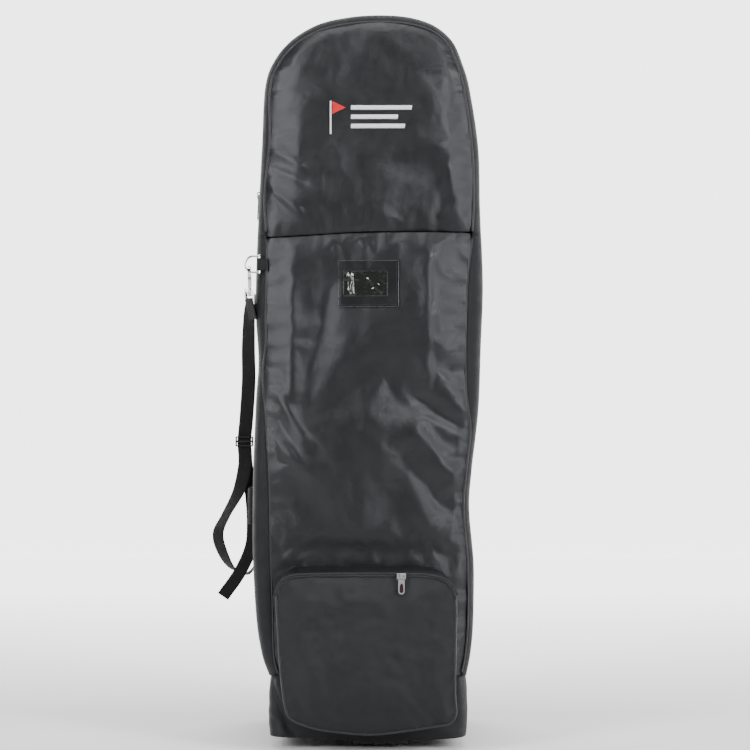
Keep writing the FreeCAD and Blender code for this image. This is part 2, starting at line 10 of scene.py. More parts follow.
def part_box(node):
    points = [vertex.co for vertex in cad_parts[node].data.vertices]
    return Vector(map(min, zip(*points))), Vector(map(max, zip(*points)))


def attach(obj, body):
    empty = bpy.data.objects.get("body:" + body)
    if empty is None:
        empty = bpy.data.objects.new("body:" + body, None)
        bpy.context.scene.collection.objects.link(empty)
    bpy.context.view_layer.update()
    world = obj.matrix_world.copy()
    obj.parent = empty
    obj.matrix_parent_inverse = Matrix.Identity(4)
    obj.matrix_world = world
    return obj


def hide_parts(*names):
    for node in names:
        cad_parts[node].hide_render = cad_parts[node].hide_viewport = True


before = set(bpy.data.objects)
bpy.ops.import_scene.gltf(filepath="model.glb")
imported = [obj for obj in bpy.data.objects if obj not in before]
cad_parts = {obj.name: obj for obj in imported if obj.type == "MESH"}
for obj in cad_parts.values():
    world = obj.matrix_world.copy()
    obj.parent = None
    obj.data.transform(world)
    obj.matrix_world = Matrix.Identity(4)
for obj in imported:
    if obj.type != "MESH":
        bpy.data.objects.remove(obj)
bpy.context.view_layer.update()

# A wheeled soft travel case for a golf bag. Metres, front towards -Y.

FRONT = -0.15
BACK = 0.15
CORNER = 0.027  # roundness of the bag's front and back edges
BACK_SEAM = 0.022  # distance of the back seam from the outline
PUFF = 0.010  # how far the filled front stands out
PAD_INSET = 0.034  # the hood's pad ends this far inside the outline
HOOD_Z = 0.887
CLOTH_LOW = 0.119  # the shell's cloth ends here, inside the boot
ZIP_Y = -0.078
SLIDE_X, SLIDE_Z, SLIDE_LEAN = 0.1960, 0.815, 0.0562  # the line that both main sliders run on
STRAP_WIDTH = 0.0248
WHEEL_X, WHEEL_Y, WHEEL_R = 0.150, 0.124, 0.033
FINE_THREAD, THREAD = 0.00035, 0.0004  # radii of the stitches' threads
VIEW_DISTANCE, VIEW_WIDTH = 3.37, 1.302  # from the camera to the bag's front, and seen there

# The bag's outline from the left foot over the crown to the right foot, as x and z
OUTLINE = [
    (-0.171, 0.118), (-0.184, 0.155), (-0.194, 0.22), (-0.200, 0.34), (-0.199, 0.48),
    (-0.194, 0.60), (-0.190, 0.67), (-0.195, 0.77), (-0.190, 0.92), (-0.184, 1.04),
    (-0.179, 1.14), (-0.165, 1.186), (-0.135, 1.224), (-0.087, 1.253), (-0.030, 1.266),
    (0.025, 1.269), (0.073, 1.265), (0.115, 1.251), (0.146, 1.224), (0.163, 1.186),
    (0.176, 1.14), (0.191, 1.04), (0.194, 0.93), (0.199, 0.80), (0.195, 0.68),
    (0.191, 0.58), (0.180, 0.48), (0.175, 0.41), (0.183, 0.31), (0.182, 0.21),
    (0.177, 0.155), (0.170, 0.118),
]
# Distance of the front seam from the outline, by height
SEAM_LEFT = [
    (0.118, 0.016), (0.22, 0.029), (0.34, 0.031), (0.46, 0.028), (0.58, 0.017),
    (0.65, 0.008), (0.72, 0.016), (0.86, 0.017), (0.95, 0.009), (1.05, 0.013),
    (1.14, 0.009), (1.21, 0.012), (1.27, 0.014),
]
SEAM_RIGHT = [
    (0.118, 0.009), (0.30, 0.010), (0.50, 0.009), (0.55, 0.011), (0.60, 0.021),
    (0.67, 0.026), (0.80, 0.027), (0.88, 0.016), (0.95, 0.010), (1.05, 0.011),
    (1.14, 0.010), (1.21, 0.010), (1.27, 0.014),
]


def unit(vectors):
    """The same directions with a length of one."""
    return vectors / np.linalg.norm(vectors, axis=-1, keepdims=True)


def run_along(points):
    """Distance of each point from the first one, along the line."""
    return np.concatenate([[0], np.cumsum(np.linalg.norm(np.diff(points, axis=0), axis=1))])


def points_at(points, run, at):
    """Points of a line at the given distances along it."""
    return np.stack([np.interp(at, run, column) for column in points.T], axis=-1)


def xyz(x, y, z):
    """Points from their coordinates, any of which may be a single number."""
    return np.stack(np.broadcast_arrays(x, y, z), axis=-1)


def at_depth(line, y):
    """Points of a flat line of x and z, stood up at a depth or at one depth for each."""
    return xyz(line[:, 0], y, line[:, 1])


def spline(points, count):
    """Evenly spaced points on a smooth curve through the given ones."""
    p = np.array(points, float)
    p = np.vstack([2 * p[0] - p[1], p, 2 * p[-1] - p[-2]])
    t = np.linspace(0, 1, 24, endpoint=False)[:, None]
    rows = []
    for a, b, c, d in zip(p, p[1:], p[2:], p[3:]):
        rows.append(0.5 * ((2 * b) + (c - a) * t + (2 * a - 5 * b + 4 * c - d) * t ** 2
                           + (3 * b - a - 3 * c + d) * t ** 3))
    dense = np.vstack(rows + [p[-2:-1]])
    run = run_along(dense)
    return points_at(dense, run, np.linspace(0, run[-1], count))


def left_of(line):
    """Directions to the left of a flat line, at each of its points."""
    step = unit(np.gradient(line, axis=0))
    return np.stack([-step[:, 1], step[:, 0]], axis=1)


def by_height(table, z):
    """Smooth value at a height, from a short table of heights and values."""
    dense = spline(table, 200)
    return np.interp(z, dense[:, 0], dense[:, 1])


ARCH = spline(OUTLINE, 420)
ARCH_NORMAL = left_of(ARCH)


def arch_index(z, side):
    """Place along the outline at a height on one side."""
    half = np.where(ARCH[:, 0] * side > 0)[0]
    return int(half[np.argmin(np.abs(ARCH[half, 1] - z))])


HOOD_LEFT, HOOD_RIGHT = arch_index(HOOD_Z, -1), arch_index(HOOD_Z, 1)
FOOT_LEFT, FOOT_RIGHT = arch_index(CLOTH_LOW, -1), arch_index(CLOTH_LOW, 1)


def inside_outline(inset):
    """The outline moved in by a distance or by one distance for each of its points."""
    return ARCH - ARCH_NORMAL * np.reshape(inset, (-1, 1))


def push_out(grid, first, lift):
    """Moves rows of points out from the outline, starting at its point with a given index."""
    normal = ARCH_NORMAL[first:first + len(grid), None]
    grid[..., 0] += normal[..., 0] * lift
    grid[..., 2] += normal[..., 1] * lift


def inset_from_outline(x, z):
    """Distance of points from the outline, positive inside."""
    points = np.stack([np.ravel(x), np.ravel(z)], axis=1)
    gap = np.linalg.norm(points[:, None, :] - ARCH[None, ::2, :], axis=2)
    return gap.min(axis=1).reshape(np.shape(x))


def seam_inset():
    """Distance of the front seam from the outline, at each point of the outline."""
    left = by_height(SEAM_LEFT, ARCH[:, 1])
    right = by_height(SEAM_RIGHT, ARCH[:, 1])
    share = np.clip((ARCH[:, 0] + 0.06) / 0.12, 0, 1)
    return left * (1 - share) + right * share


SEAM = seam_inset()
SEAM_XZ = inside_outline(SEAM)


def corner_depth(inset):
    """How far the rounded edge falls back from the front face, by distance from the outline."""
    t = np.clip(CORNER - inset, 0, CORNER)
    return CORNER - np.sqrt(np.maximum(CORNER ** 2 - t ** 2, 0))


# Noise and folds


def rough(x, y, z, size, seed=0.0, octaves=3):
    """Smooth noise at each point, about -1 to 1."""
    out = np.empty(np.shape(x))
    flat = out.ravel()
    xs, ys, zs = np.ravel(x), np.ravel(y), np.ravel(z)
    for i in range(len(flat)):
        flat[i] = noise.fractal(
            Vector((xs[i] / size + seed, ys[i] / size, zs[i] / size)), 1.0, 2.0, octaves)
    return out


def fold(x, z, x0, z0, x1, z1, width, height, spread=1.0):
    """Ridge along a line, fading out at its ends and spread out on the line's right side."""
    along = np.array([x1 - x0, z1 - z0])
    length = np.linalg.norm(along)
    along = along / length
    u = (x - x0) * along[0] + (z - z0) * along[1]
    v = -(x - x0) * along[1] + (z - z0) * along[0]
    beyond = np.maximum(np.maximum(-u, u - length), 0) / (width * 1.4)
    across = v / np.where(v < 0, width * spread, width)
    return height * np.exp(-across ** 2) * np.exp(-beyond ** 2)


# Each fold is x0, z0, x1, z1, width, height and spread
BODY_FOLDS = [
    (-0.128, 0.50, -0.126, 0.85, 0.030, 0.0080, 3.0),
    (-0.135, 0.62, -0.128, 0.86, 0.009, 0.0020, 1.5),
    (-0.066, 0.80, -0.101, 0.60, 0.022, -0.0042, 1.0),
    (-0.030, 0.86, -0.050, 0.70, 0.022, 0.0020, 1.0),
    (0.012, 0.72, 0.008, 0.52, 0.045, 0.0060, 1.0),
    (0.116, 0.86, 0.121, 0.70, 0.028, 0.0120, 3.2),
    (0.105, 0.845, 0.104, 0.62, 0.007, 0.0022, 2.5),
    (0.105, 0.655, 0.168, 0.585, 0.016, 0.0060, 1.6),
    (0.090, 0.600, 0.150, 0.560, 0.014, -0.0040, 1.0),
    (0.085, 0.545, 0.150, 0.465, 0.014, 0.0055, 1.6),
    (0.060, 0.500, 0.130, 0.420, 0.015, -0.0040, 1.0),
    (-0.150, 0.60, -0.110, 0.535, 0.009, 0.0032, 1.0),
    (-0.155, 0.56, -0.118, 0.500, 0.008, -0.0028, 1.0),
    (-0.150, 0.52, -0.100, 0.470, 0.010, 0.0030, 1.0),
    (-0.110, 0.50, -0.020, 0.400, 0.030, 0.0040, 1.0),
    (-0.150, 0.345, 0.150, 0.335, 0.016, -0.0022, 1.0),
    (-0.140, 0.390, 0.140, 0.380, 0.030, 0.0010, 1.0),
    (0.02, 0.47, 0.06, 0.38, 0.024, -0.0014, 1.0),
]
HOOD_FOLDS = [
    (-0.120, 0.95, -0.112, 1.19, 0.034, 0.0095, 3.0),
    (-0.060, 1.20, -0.080, 0.93, 0.034, -0.0025, 1.0),
    (0.010, 1.05, 0.005, 0.93, 0.050, 0.0030, 1.0),
    (0.128, 1.17, 0.136, 1.05, 0.026, 0.0085, 3.0),
    (0.130, 1.03, 0.160, 0.92, 0.014, 0.0030, 1.5),
    (-0.168, 1.035, -0.118, 1.005, 0.007, 0.0032, 1.0),
    (-0.168, 1.000, -0.112, 0.975, 0.007, -0.0030, 1.0),
    (-0.168, 0.968, -0.120, 0.925, 0.007, 0.0030, 1.0),
    (0.020, 1.235, 0.030, 1.16, 0.035, 0.0030, 1.0),
]
BACK_FOLDS = [
    (-0.120, 0.95, -0.110, 0.45, 0.020, 0.0045, 2.0),
    (0.115, 0.85, 0.125, 0.35, 0.022, 0.0045, 2.0),
    (-0.050, 0.70, 0.060, 0.52, 0.020, -0.0035, 1.0),
    (-0.090, 0.30, 0.090, 0.27, 0.020, 0.0040, 1.0),
    (0.020, 1.02, 0.090, 0.86, 0.016, -0.0030, 1.5),
    (-0.150, 0.22, -0.090, 0.15, 0.012, 0.0030, 1.0),
]


def folds_at(x, z, folds):
    """Height of all the folds of a list, at places on the face."""
    return sum(fold(x, z, *entry) for entry in folds)


def puckers(along, gap, pitch, reach, height, seed):
    """Small gathers beside a seam: along is the way along it, gap the distance from it."""
    wave = np.array([noise.noise(Vector((a / pitch, seed, 0.0))) for a in np.ravel(along)])
    return height * wave.reshape(np.shape(along)) * np.exp(-np.abs(gap) / reach)


# Meshes


def make_object(name, verts, faces, material):
    mesh = bpy.data.meshes.new(name)
    mesh.from_pydata([tuple(v) for v in verts], [], [tuple(f) for f in faces])
    mesh.update()
    obj = bpy.data.objects.new(name, mesh)
    bpy.context.scene.collection.objects.link(obj)
    mesh.shade_smooth()
    mesh.materials.append(material)
    return obj


def grid_faces(rows, cols, around=False, back_to_start=False, caps=False):
    """Faces of a grid of points: its rows may close on themselves, and its ends on each other."""
    faces = []
    for i in range(rows if back_to_start else rows - 1):
        a, b = i * cols, (i + 1) % rows * cols
        for j in range(cols if around else cols - 1):
            k = (j + 1) % cols
            faces.append((a + j, a + k, b + k, b + j))
    if caps:
        faces.append(tuple(range(cols)))
        faces.append(tuple(reversed(range((rows - 1) * cols, rows * cols))))
    return faces


def grid_object(name, points, material, flip=False):
    """Surface through a grid of points, rows by columns by 3."""
    faces = grid_faces(*points.shape[:2])
    if flip:
        faces = [tuple(reversed(f)) for f in faces]
    return make_object(name, points.reshape(-1, 3), faces, material)


def panel_points(border, spacing):
    """Triangles over a flat outline, with points inside it on a staggered grid."""
    border = np.array(border)
    low, high = border.min(axis=0), border.max(axis=0)
    inside = []
    rows = int((high[1] - low[1]) / (spacing * 0.87)) + 1
    for r in range(rows):
        z = low[1] + r * spacing * 0.87
        crossings = []
        for a, b in zip(border, np.roll(border, -1, axis=0)):
            if (a[1] > z) != (b[1] > z):
                crossings.append(a[0] + (z - a[1]) / (b[1] - a[1]) * (b[0] - a[0]))
        crossings.sort()
        for left, right in zip(crossings[::2], crossings[1::2]):
            start = left + spacing * 0.6
            x = math.ceil(start / spacing) * spacing + (spacing / 2 if r % 2 else 0)
            while x < right - spacing * 0.6:
                if low[1] + spacing * 0.5 < z < high[1] - spacing * 0.4:
                    inside.append((x, z))
                x += spacing
    points = [Vector(p) for p in border] + [Vector(p) for p in inside]
    edge = list(range(len(border)))
    loops = [(i, (i + 1) % len(edge)) for i in edge]
    verts, _, faces, _, _, _ = delaunay_2d_cdt(points, loops, [], 1, 1e-6)
    return np.array([(v.x, v.y) for v in verts]), [tuple(f) for f in faces]


def thicken(obj, thickness, offset=-1.0):
    mod = obj.modifiers.new("thickness", "SOLIDIFY")
    mod.thickness = thickness
    mod.offset = offset
    return obj


def subdivide(obj, levels=1):
    mod = obj.modifiers.new("smoother", "SUBSURF")
    mod.levels = levels
    mod.render_levels = levels
    return obj


def tube_along(name, points, radius, material, sides=10, closed=False):
    """Round cord along points, with its section kept upright to the path."""
    p = np.array(points, float)
    tangent = unit(np.roll(p, -1, axis=0) - np.roll(p, 1, axis=0) if closed
                   else np.gradient(p, axis=0))
    side = np.cross(tangent[0], (0.0, 1.0, 0.0))
    if np.linalg.norm(side) < 0.1:
        side = np.cross(tangent[0], (1.0, 0.0, 0.0))
    turn = np.linspace(0, 2 * math.pi, sides, endpoint=False)[:, None]
    rings = []
    for at, forward in zip(p, tangent):
        side = unit(side - forward * side.dot(forward))
        up = np.cross(forward, side)
        rings.append(at + radius * (side * np.cos(turn) + up * np.sin(turn)))
    faces = grid_faces(len(p), sides, around=True, back_to_start=closed, caps=not closed)
    return make_object(name, np.array(rings).reshape(-1, 3), faces, material)


def face_towards(obj, sign):
    """Turns a sheet over if it doesn't face along Y with the given sign."""
    if sign * np.mean([p.normal.y for p in obj.data.polygons]) < 0:
        obj.data.flip_normals()


def put(obj, body, slot_name, *nodes):
    """Final placing of a piece: the body it rides on, its slot, which is not used, and the nodes it
    stands for.
    """
    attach(obj, body)
    if nodes:
        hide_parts(*nodes)
    return obj


# Materials


def set_inputs(tree, node, **values):
    """Gives a node's inputs, named with underscores for spaces, their values or links."""
    for name, value in values.items():
        socket = node.inputs[name.replace("_", " ")]
        if isinstance(value, bpy.types.NodeSocket):
            tree.links.new(value, socket)
        else:
            socket.default_value = value


def new_material(name):
    """Empty material with its node tree, its shader and the object's own coordinates."""
    material = bpy.data.materials.new(name)
    material.use_nodes = True
    tree = material.node_tree
    coords = tree.nodes.new("ShaderNodeTexCoord").outputs["Object"]
    return material, tree, tree.nodes["Principled BSDF"], coords


def split_xyz(tree, vector):
    node = tree.nodes.new("ShaderNodeSeparateXYZ")
    set_inputs(tree, node, Vector=vector)
    return node.outputs


def math_node(tree, operation, *values):
    """Result of an operation on links or numbers."""
    node = tree.nodes.new("ShaderNodeMath")
    node.operation = operation
    for socket, value in zip(node.inputs, values):
        if isinstance(value, bpy.types.NodeSocket):
            tree.links.new(value, socket)
        else:
            socket.default_value = value
    return node.outputs[0]


def waves(tree, value, pitch):
    return math_node(tree, "SINE", math_node(tree, "MULTIPLY", value, 2 * math.pi / pitch))


def weave_height(tree, coords, pitch):
    """Over-and-under threads of a plain weave."""
    x, y, z = split_xyz(tree, coords)
    across = waves(tree, math_node(tree, "ADD", x, y), pitch)
    return math_node(tree, "MULTIPLY", across, waves(tree, z, pitch))


def noise_value(tree, coords, scale, detail=3.0):
    node = tree.nodes.new("ShaderNodeTexNoise")
    set_inputs(tree, node, Scale=scale, Detail=detail, Vector=coords)
    return node.outputs["Fac"]


def ramp(tree, value, low, high):
    """Colour between two colours."""
    node = tree.nodes.new("ShaderNodeValToRGB")
    for element, colour in zip(node.color_ramp.elements, (low, high)):
        element.color = (*colour, 1)
    set_inputs(tree, node, Fac=value)
    return node.outputs["Color"]


def map_range(tree, value, to_low, to_high, from_low=0.3, from_high=0.7):
    node = tree.nodes.new("ShaderNodeMapRange")
    set_inputs(tree, node, From_Min=from_low, From_Max=from_high, To_Min=to_low,
               To_Max=to_high, Value=value)
    return node.outputs["Result"]


def bump(tree, *layers):
    """Chain of bump layers: each is a height, a strength and a distance in metres."""
    normal = None
    for height, strength, distance in layers:
        node = tree.nodes.new("ShaderNodeBump")
        set_inputs(tree, node, Strength=strength, Distance=distance, Height=height)
        if normal:
            set_inputs(tree, node, Normal=normal)
        normal = node.outputs["Normal"]
    return normal


def cloth_material(name, dark, light, pitch, rough_low, rough_high, weave, crumple=0.0,
                   shine=0.5, sheen=0.0):
    material, tree, shader, coords = new_material(name)
    weave_out = weave_height(tree, coords, pitch)
    layers = [(weave_out, weave, pitch * 0.25)]
    if crumple:
        layers.insert(0, (noise_value(tree, coords, 55.0, 4.0), crumple, 0.004))
    set_inputs(
        tree, shader,
        Base_Color=ramp(tree, noise_value(tree, coords, 18.0, 5.0), dark, light),
        Roughness=map_range(tree, noise_value(tree, coords, 35.0, 4.0), rough_low, rough_high),
        Specular_IOR_Level=shine, Specular_Tint=(0.945, 0.955, 1.0, 1),
        Sheen_Weight=sheen, Sheen_Roughness=0.4, Normal=bump(tree, *layers))
    return material


def webbing_material():
    """Herringbone weave that runs along a strap, from the distances stored as its UVs."""
    material, tree, shader, coords = new_material("webbing")
    run = tree.nodes.new("ShaderNodeUVMap")
    run.uv_map = "run"
    across, along, _ = split_xyz(tree, run.outputs[0])
    zigzag = math_node(tree, "PINGPONG", across, 0.003)
    rib = waves(tree, math_node(tree, "ADD", zigzag, along), 0.0016)
    worn = noise_value(tree, coords, 60.0, 4.0)
    set_inputs(
        tree, shader, Base_Color=ramp(tree, worn, (0.006, 0.006, 0.0065), (0.014, 0.014, 0.015)),
        Roughness=map_range(tree, worn, 0.6, 0.8), Specular_IOR_Level=0.3,
        Normal=bump(tree, (rib, 0.8, 0.0005)))
    return material


def metal_material(name, colour, roughness):
    material, tree, shader, coords = new_material(name)
    worn = noise_value(tree, coords, 90.0, 4.0)
    set_inputs(
        tree, shader, Metallic=1.0,
        Base_Color=ramp(tree, worn, [c * 0.86 for c in colour], colour),
        Roughness=map_range(tree, worn, roughness * 0.7, roughness * 1.5),
        Normal=bump(tree, (noise_value(tree, coords, 260.0, 2.0), 0.05, 0.0004)))
    return material


def plastic_material(name, dark, light, roughness, grain=900.0, strength=0.12):
    material, tree, shader, coords = new_material(name)
    patchy = noise_value(tree, coords, 60.0, 3.0)
    set_inputs(
        tree, shader, Base_Color=ramp(tree, noise_value(tree, coords, 30.0, 4.0), dark, light),
        Roughness=map_range(tree, patchy, roughness * 0.8, roughness * 1.2),
        Normal=bump(tree, (noise_value(tree, coords, grain, 2.0), strength, 0.0005)))
    return material


def film_material():
    """Clear wrinkled vinyl: part see-through, part glossy."""
    material, tree, shader, coords = new_material("clear_film")
    set_inputs(
        tree, shader, Base_Color=(0.012, 0.014, 0.012, 1), Roughness=0.05,
        Specular_IOR_Level=0.8,
        Normal=bump(tree, (noise_value(tree, coords, 160.0, 2.0), 0.35, 0.0012)))
    clear = tree.nodes.new("ShaderNodeBsdfTransparent")
    mix = tree.nodes.new("ShaderNodeMixShader")
    mix.inputs[0].default_value = 0.6
    tree.links.new(clear.outputs[0], mix.inputs[1])
    tree.links.new(shader.outputs[0], mix.inputs[2])
    set_inputs(tree, tree.nodes["Material Output"], Surface=mix.outputs[0])
    return material


NYLON = cloth_material(
    "coated_nylon", (0.0042, 0.0044, 0.0052), (0.0075, 0.0078, 0.0090), 0.0011, 0.29, 0.39,
    0.30, crumple=0.12, sheen=0.04)
SIDE_NYLON = cloth_material(
    "side_nylon", (0.0036, 0.0038, 0.0046), (0.0066, 0.0069, 0.0080), 0.0011, 0.50, 0.62,
    0.4, crumple=0.15, shine=0.3)
# Cloth of the boot and the pocket, coarser and more matte than the nylon; its darker colour is
# painted shade of the bag's lower part
LOW_CLOTH_PAINTED_SHADE = cloth_material(
    "low_cloth_painted_shade", (0.0026, 0.0027, 0.0034), (0.0052, 0.0053, 0.0064), 0.0014, 0.44, 0.56,
    0.5, crumple=0.2, shine=0.39)
PIPING = cloth_material(
    "piping_cloth", (0.006, 0.006, 0.0065), (0.012, 0.012, 0.013), 0.0008, 0.3, 0.4, 0.4)
ZIP_TAPE = cloth_material(
    "zip_tape", (0.005, 0.005, 0.0055), (0.009, 0.009, 0.01), 0.0009, 0.5, 0.65, 0.6)
VINYL = cloth_material(
    "window_vinyl", (0.0045, 0.0047, 0.0055), (0.008, 0.0083, 0.0095), 0.0011, 0.28, 0.36,
    0.2, crumple=0.1)
WEBBING = webbing_material()
FILM = film_material()
CHROME = metal_material("plated_metal", (0.78, 0.78, 0.80), 0.16)
STEEL = metal_material("zinc_steel", (0.55, 0.55, 0.57), 0.3)
COIL = plastic_material("zip_coil", (0.008, 0.008, 0.009), (0.014, 0.014, 0.015), 0.35)
FOAM = plastic_material("foam", (0.03, 0.03, 0.032), (0.05, 0.05, 0.054), 0.85, 400.0, 0.5)
BLACK_PLASTIC = plastic_material(
    "moulded_plastic", (0.008, 0.008, 0.009), (0.014, 0.014, 0.015), 0.42)
BOARD = plastic_material("board_plastic", (0.015, 0.015, 0.016), (0.024, 0.024, 0.026), 0.55)
HUB_PLASTIC = plastic_material("hub_plastic", (0.09, 0.09, 0.095), (0.13, 0.13, 0.135), 0.4)
TYRE_RUBBER = plastic_material("tyre_rubber", (0.012, 0.012, 0.012), (0.02, 0.02, 0.02), 0.62)
GRIP_RUBBER = plastic_material("grip_rubber", (0.010, 0.010, 0.010), (0.017, 0.017, 0.017), 0.6)
THREAD_DARK = plastic_material(
    "dark_thread", (0.03, 0.03, 0.032), (0.05, 0.05, 0.054), 0.5, 1500.0, 0.3)
THREAD_WHITE = plastic_material(
    "white_thread", (0.72, 0.72, 0.72), (0.85, 0.85, 0.85), 0.45, 1500.0, 0.2)
THREAD_RED = plastic_material(
    "red_thread", (0.50, 0.012, 0.012), (0.66, 0.02, 0.02), 0.45, 1500.0, 0.2)
ENAMEL = plastic_material("enamel", (0.018, 0.004, 0.004), (0.03, 0.006, 0.006), 0.2)
CARD = plastic_material("card", (0.008, 0.010, 0.008), (0.014, 0.017, 0.014), 0.5)
# Raised rim round the card window: a real welt, and its lighter grey colour is painted highlight of
# the light its edge catches
RIM_PAINTED_HIGHLIGHT = plastic_material("window_rim_painted_highlight", (0.02, 0.021, 0.023), (0.03, 0.031, 0.034), 0.3)


# Front and back panels

CLOTH_TREES = {}  # search trees of the front's cloth, by piece


def height_of_front(x, z, folds, seed):
    """Depth of the bag's front surface at points of its face."""
    inset = inset_from_outline(x, z)
    y = FRONT + corner_depth(inset)
    fullness = 1 - np.exp(-np.maximum(inset - 0.012, 0) / 0.05)
    y = y - PUFF * fullness
    y = y - folds_at(x, z, folds) * np.clip(inset / 0.03, 0, 1)
    y = y - 0.0013 * rough(x, x * 0, z, 0.085, seed) * fullness
    y = y - 0.0004 * rough(x * 1.6, x * 0, z, 0.026, seed + 7.3, 2) * np.clip(inset / 0.03, 0, 1)
    y = y - puckers(z, inset - 0.012, 0.020, 0.020, 0.0045, seed) * np.clip(inset / 0.02, 0, 1)
    return y


def side_points(z_low, z_high, side):
    """The front seam's points between two heights, on one side."""
    keep = (SEAM_XZ[:, 1] > z_low) & (SEAM_XZ[:, 1] < z_high) & (SEAM_XZ[:, 0] * side > 0)
    return SEAM_XZ[keep]


def seam_at(z, side):
    """Where the front seam is at a height, on one side."""
    points = SEAM_XZ[SEAM_XZ[:, 0] * side > 0]
    order = np.argsort(points[:, 1])
    return float(np.interp(z, points[order, 1], points[order, 0]))


HOOD_SEAM_LEFT = HOOD_Z - 0.006
HOOD_SEAM_RIGHT = HOOD_Z + 0.003


def front_panel():
    low = CLOTH_LOW + 0.002
    left = side_points(low + 0.003, HOOD_SEAM_LEFT - 0.003, -1)
    right = side_points(low + 0.003, HOOD_SEAM_RIGHT - 0.003, 1)
    ends = seam_at(low, 1), seam_at(low, -1)
    x = np.linspace(*ends, int((ends[0] - ends[1]) / 0.006) + 2)
    bottom = np.stack([x, np.full(len(x), low)], axis=1)
    border = np.vstack([left, hood_seam_line(-0.0012), right, bottom])
    flat, faces = panel_points(border, 0.0065)
    x, z = flat.T
    y = height_of_front(x, z, BODY_FOLDS, 1.7) + hood_seam_dip(x, z)
    return panel_object("front_panel_cloth", x, y, z, faces, NYLON, len(border), 0.0045)


def hood_seam_line(shift):
    """Points along the hood seam across the front, moved up by a little."""
    x = np.linspace(seam_at(HOOD_SEAM_LEFT, -1), seam_at(HOOD_SEAM_RIGHT, 1), 62)
    return np.stack([x, hood_seam_height(x) + shift], axis=1)


def hood_seam_height(x):
    """Height of the hood seam across the front: it slopes up from the left, then levels."""
    t = np.clip((x + 0.18) / 0.20, 0, 1)
    return HOOD_SEAM_LEFT + (HOOD_SEAM_RIGHT - HOOD_SEAM_LEFT) * (t * t * (3 - 2 * t))


def hood_seam_dip(x, z):
    """The cloth is pulled in along the hood seam, with small gathers each side."""
    gap = z - hood_seam_height(x)
    dip = 0.0045 * np.exp(-np.abs(gap) / 0.012)
    return dip + puckers(x, gap, 0.022, 0.022, 0.0035, 4.1)


def hood_front():
    left = side_points(HOOD_SEAM_LEFT + 0.003, 1.3, -1)
    right = side_points(HOOD_SEAM_RIGHT + 0.003, 1.3, 1)
    border = np.vstack([left, right, hood_seam_line(0.0012)[::-1]])
    flat, faces = panel_points(border, 0.0065)
    x, z = flat.T
    y = height_of_front(x, z, HOOD_FOLDS, 5.2) + hood_seam_dip(x, z)
    return panel_object("hood_front_cloth", x, y, z, faces, NYLON, len(border), 0.0035)


def panel_object(name, x, y, z, faces, material, border=0, spare=0.0):
    """Cloth panel that faces forwards. Its first points are its sewn border."""
    obj = make_object(name, xyz(x, y, z), faces, material)
    face_towards(obj, -1)
    if spare:
        wrinkle(obj, border, spare)
    CLOTH_TREES[name] = BVHTree.FromPolygons(
        [v.co.copy() for v in obj.data.vertices], [list(p.vertices) for p in obj.data.polygons])
    return subdivide(obj)


CLOTH_FRAMES = 24
CLOTH_LIMIT = 0.009  # no point moves further than this
CLOTH_SETTINGS = {
    "quality": 6, "mass": 0.25, "tension_stiffness": 25, "compression_stiffness": 25,
    "shear_stiffness": 12, "bending_stiffness": 2.5, "tension_damping": 12,
    "compression_damping": 12, "shear_damping": 8, "vertex_group_mass": "sewn",
}


def wrinkle(obj, border, spare):
    """Lets a panel with some spare cloth settle between its sewn edges."""
    start = np.array([v.co[:] for v in obj.data.vertices])
    sewn = obj.vertex_groups.new(name="sewn")
    sewn.add(list(range(border)), 1.0, "REPLACE")
    cloth = obj.modifiers.new("cloth", "CLOTH")
    for name, value in CLOTH_SETTINGS.items():
        setattr(cloth.settings, name, value)
    cloth.settings.shrink_min = -spare
    cloth.settings.effector_weights.gravity = 0
    cloth.collision_settings.use_collision = False
    cloth.point_cache.frame_start = 1
    cloth.point_cache.frame_end = CLOTH_FRAMES
    scene = bpy.context.scene
    for number in range(1, CLOTH_FRAMES + 1):
        scene.frame_set(number)
    settled = obj.evaluated_get(bpy.context.evaluated_depsgraph_get()).data
    moved = np.array([v.co[:] for v in settled.vertices]) - start
    length = np.linalg.norm(moved, axis=1)[:, None] + 1e-9
    moved *= CLOTH_LIMIT * np.tanh(length / CLOTH_LIMIT) / length
    obj.modifiers.remove(cloth)
    obj.data.vertices.foreach_set("co", (start + moved).ravel())
    obj.data.update()
    scene.frame_set(1)


def back_panel():
    low = CLOTH_LOW + 0.002
    inner = inside_outline(BACK_SEAM)
    keep = inner[inner[:, 1] > low + 0.003]
    count = int((keep[-1, 0] - keep[0, 0]) / 0.008)
    bottom = np.stack([np.linspace(keep[-1, 0], keep[0, 0], count), np.full(count, low)], axis=1)
    flat, faces = panel_points(np.vstack([keep, bottom]), 0.009)
    x, z = flat.T
    inset = inset_from_outline(x, z)
    y = BACK - corner_depth(inset)
    y = y + 0.004 * (1 - np.exp(-np.maximum(inset - 0.02, 0) / 0.05))
    y = y + 0.0030 * rough(x, x * 0, z * 0.6, 0.10, 9.1) * np.clip(inset / 0.05, 0, 1)
    y = y + folds_at(x, z, BACK_FOLDS) * np.clip(inset / 0.04, 0, 1)
    obj = make_object("back_panel_cloth", xyz(x, y, z), faces, NYLON)
    face_towards(obj, 1)
    return subdivide(obj)


# Gussets


def gusset_profile(seam, v):
    """Distance in from the outline, and depth, along the gusset from the front seam to the back."""
    first = CORNER * math.acos(max(-1.0, min(1.0, 1 - min(seam, CORNER) / CORNER)))
    first += max(seam - CORNER, 0)
    last = CORNER * math.acos(1 - BACK_SEAM / CORNER)
    flat = (BACK - CORNER) - (FRONT + CORNER)
    at = -first + v * (first + flat + last)
    turn_f = np.clip(-at / CORNER, 0, math.pi / 2)
    over_f = np.maximum(-at - CORNER * math.pi / 2, 0)
    turn_b = np.clip((at - flat) / CORNER, 0, math.pi / 2)
    inset = CORNER * (1 - np.cos(turn_f)) + over_f + CORNER * (1 - np.cos(turn_b))
    y = FRONT + CORNER + np.clip(at, 0, flat) - CORNER * np.sin(turn_f) + CORNER * np.sin(turn_b)
    return inset, y


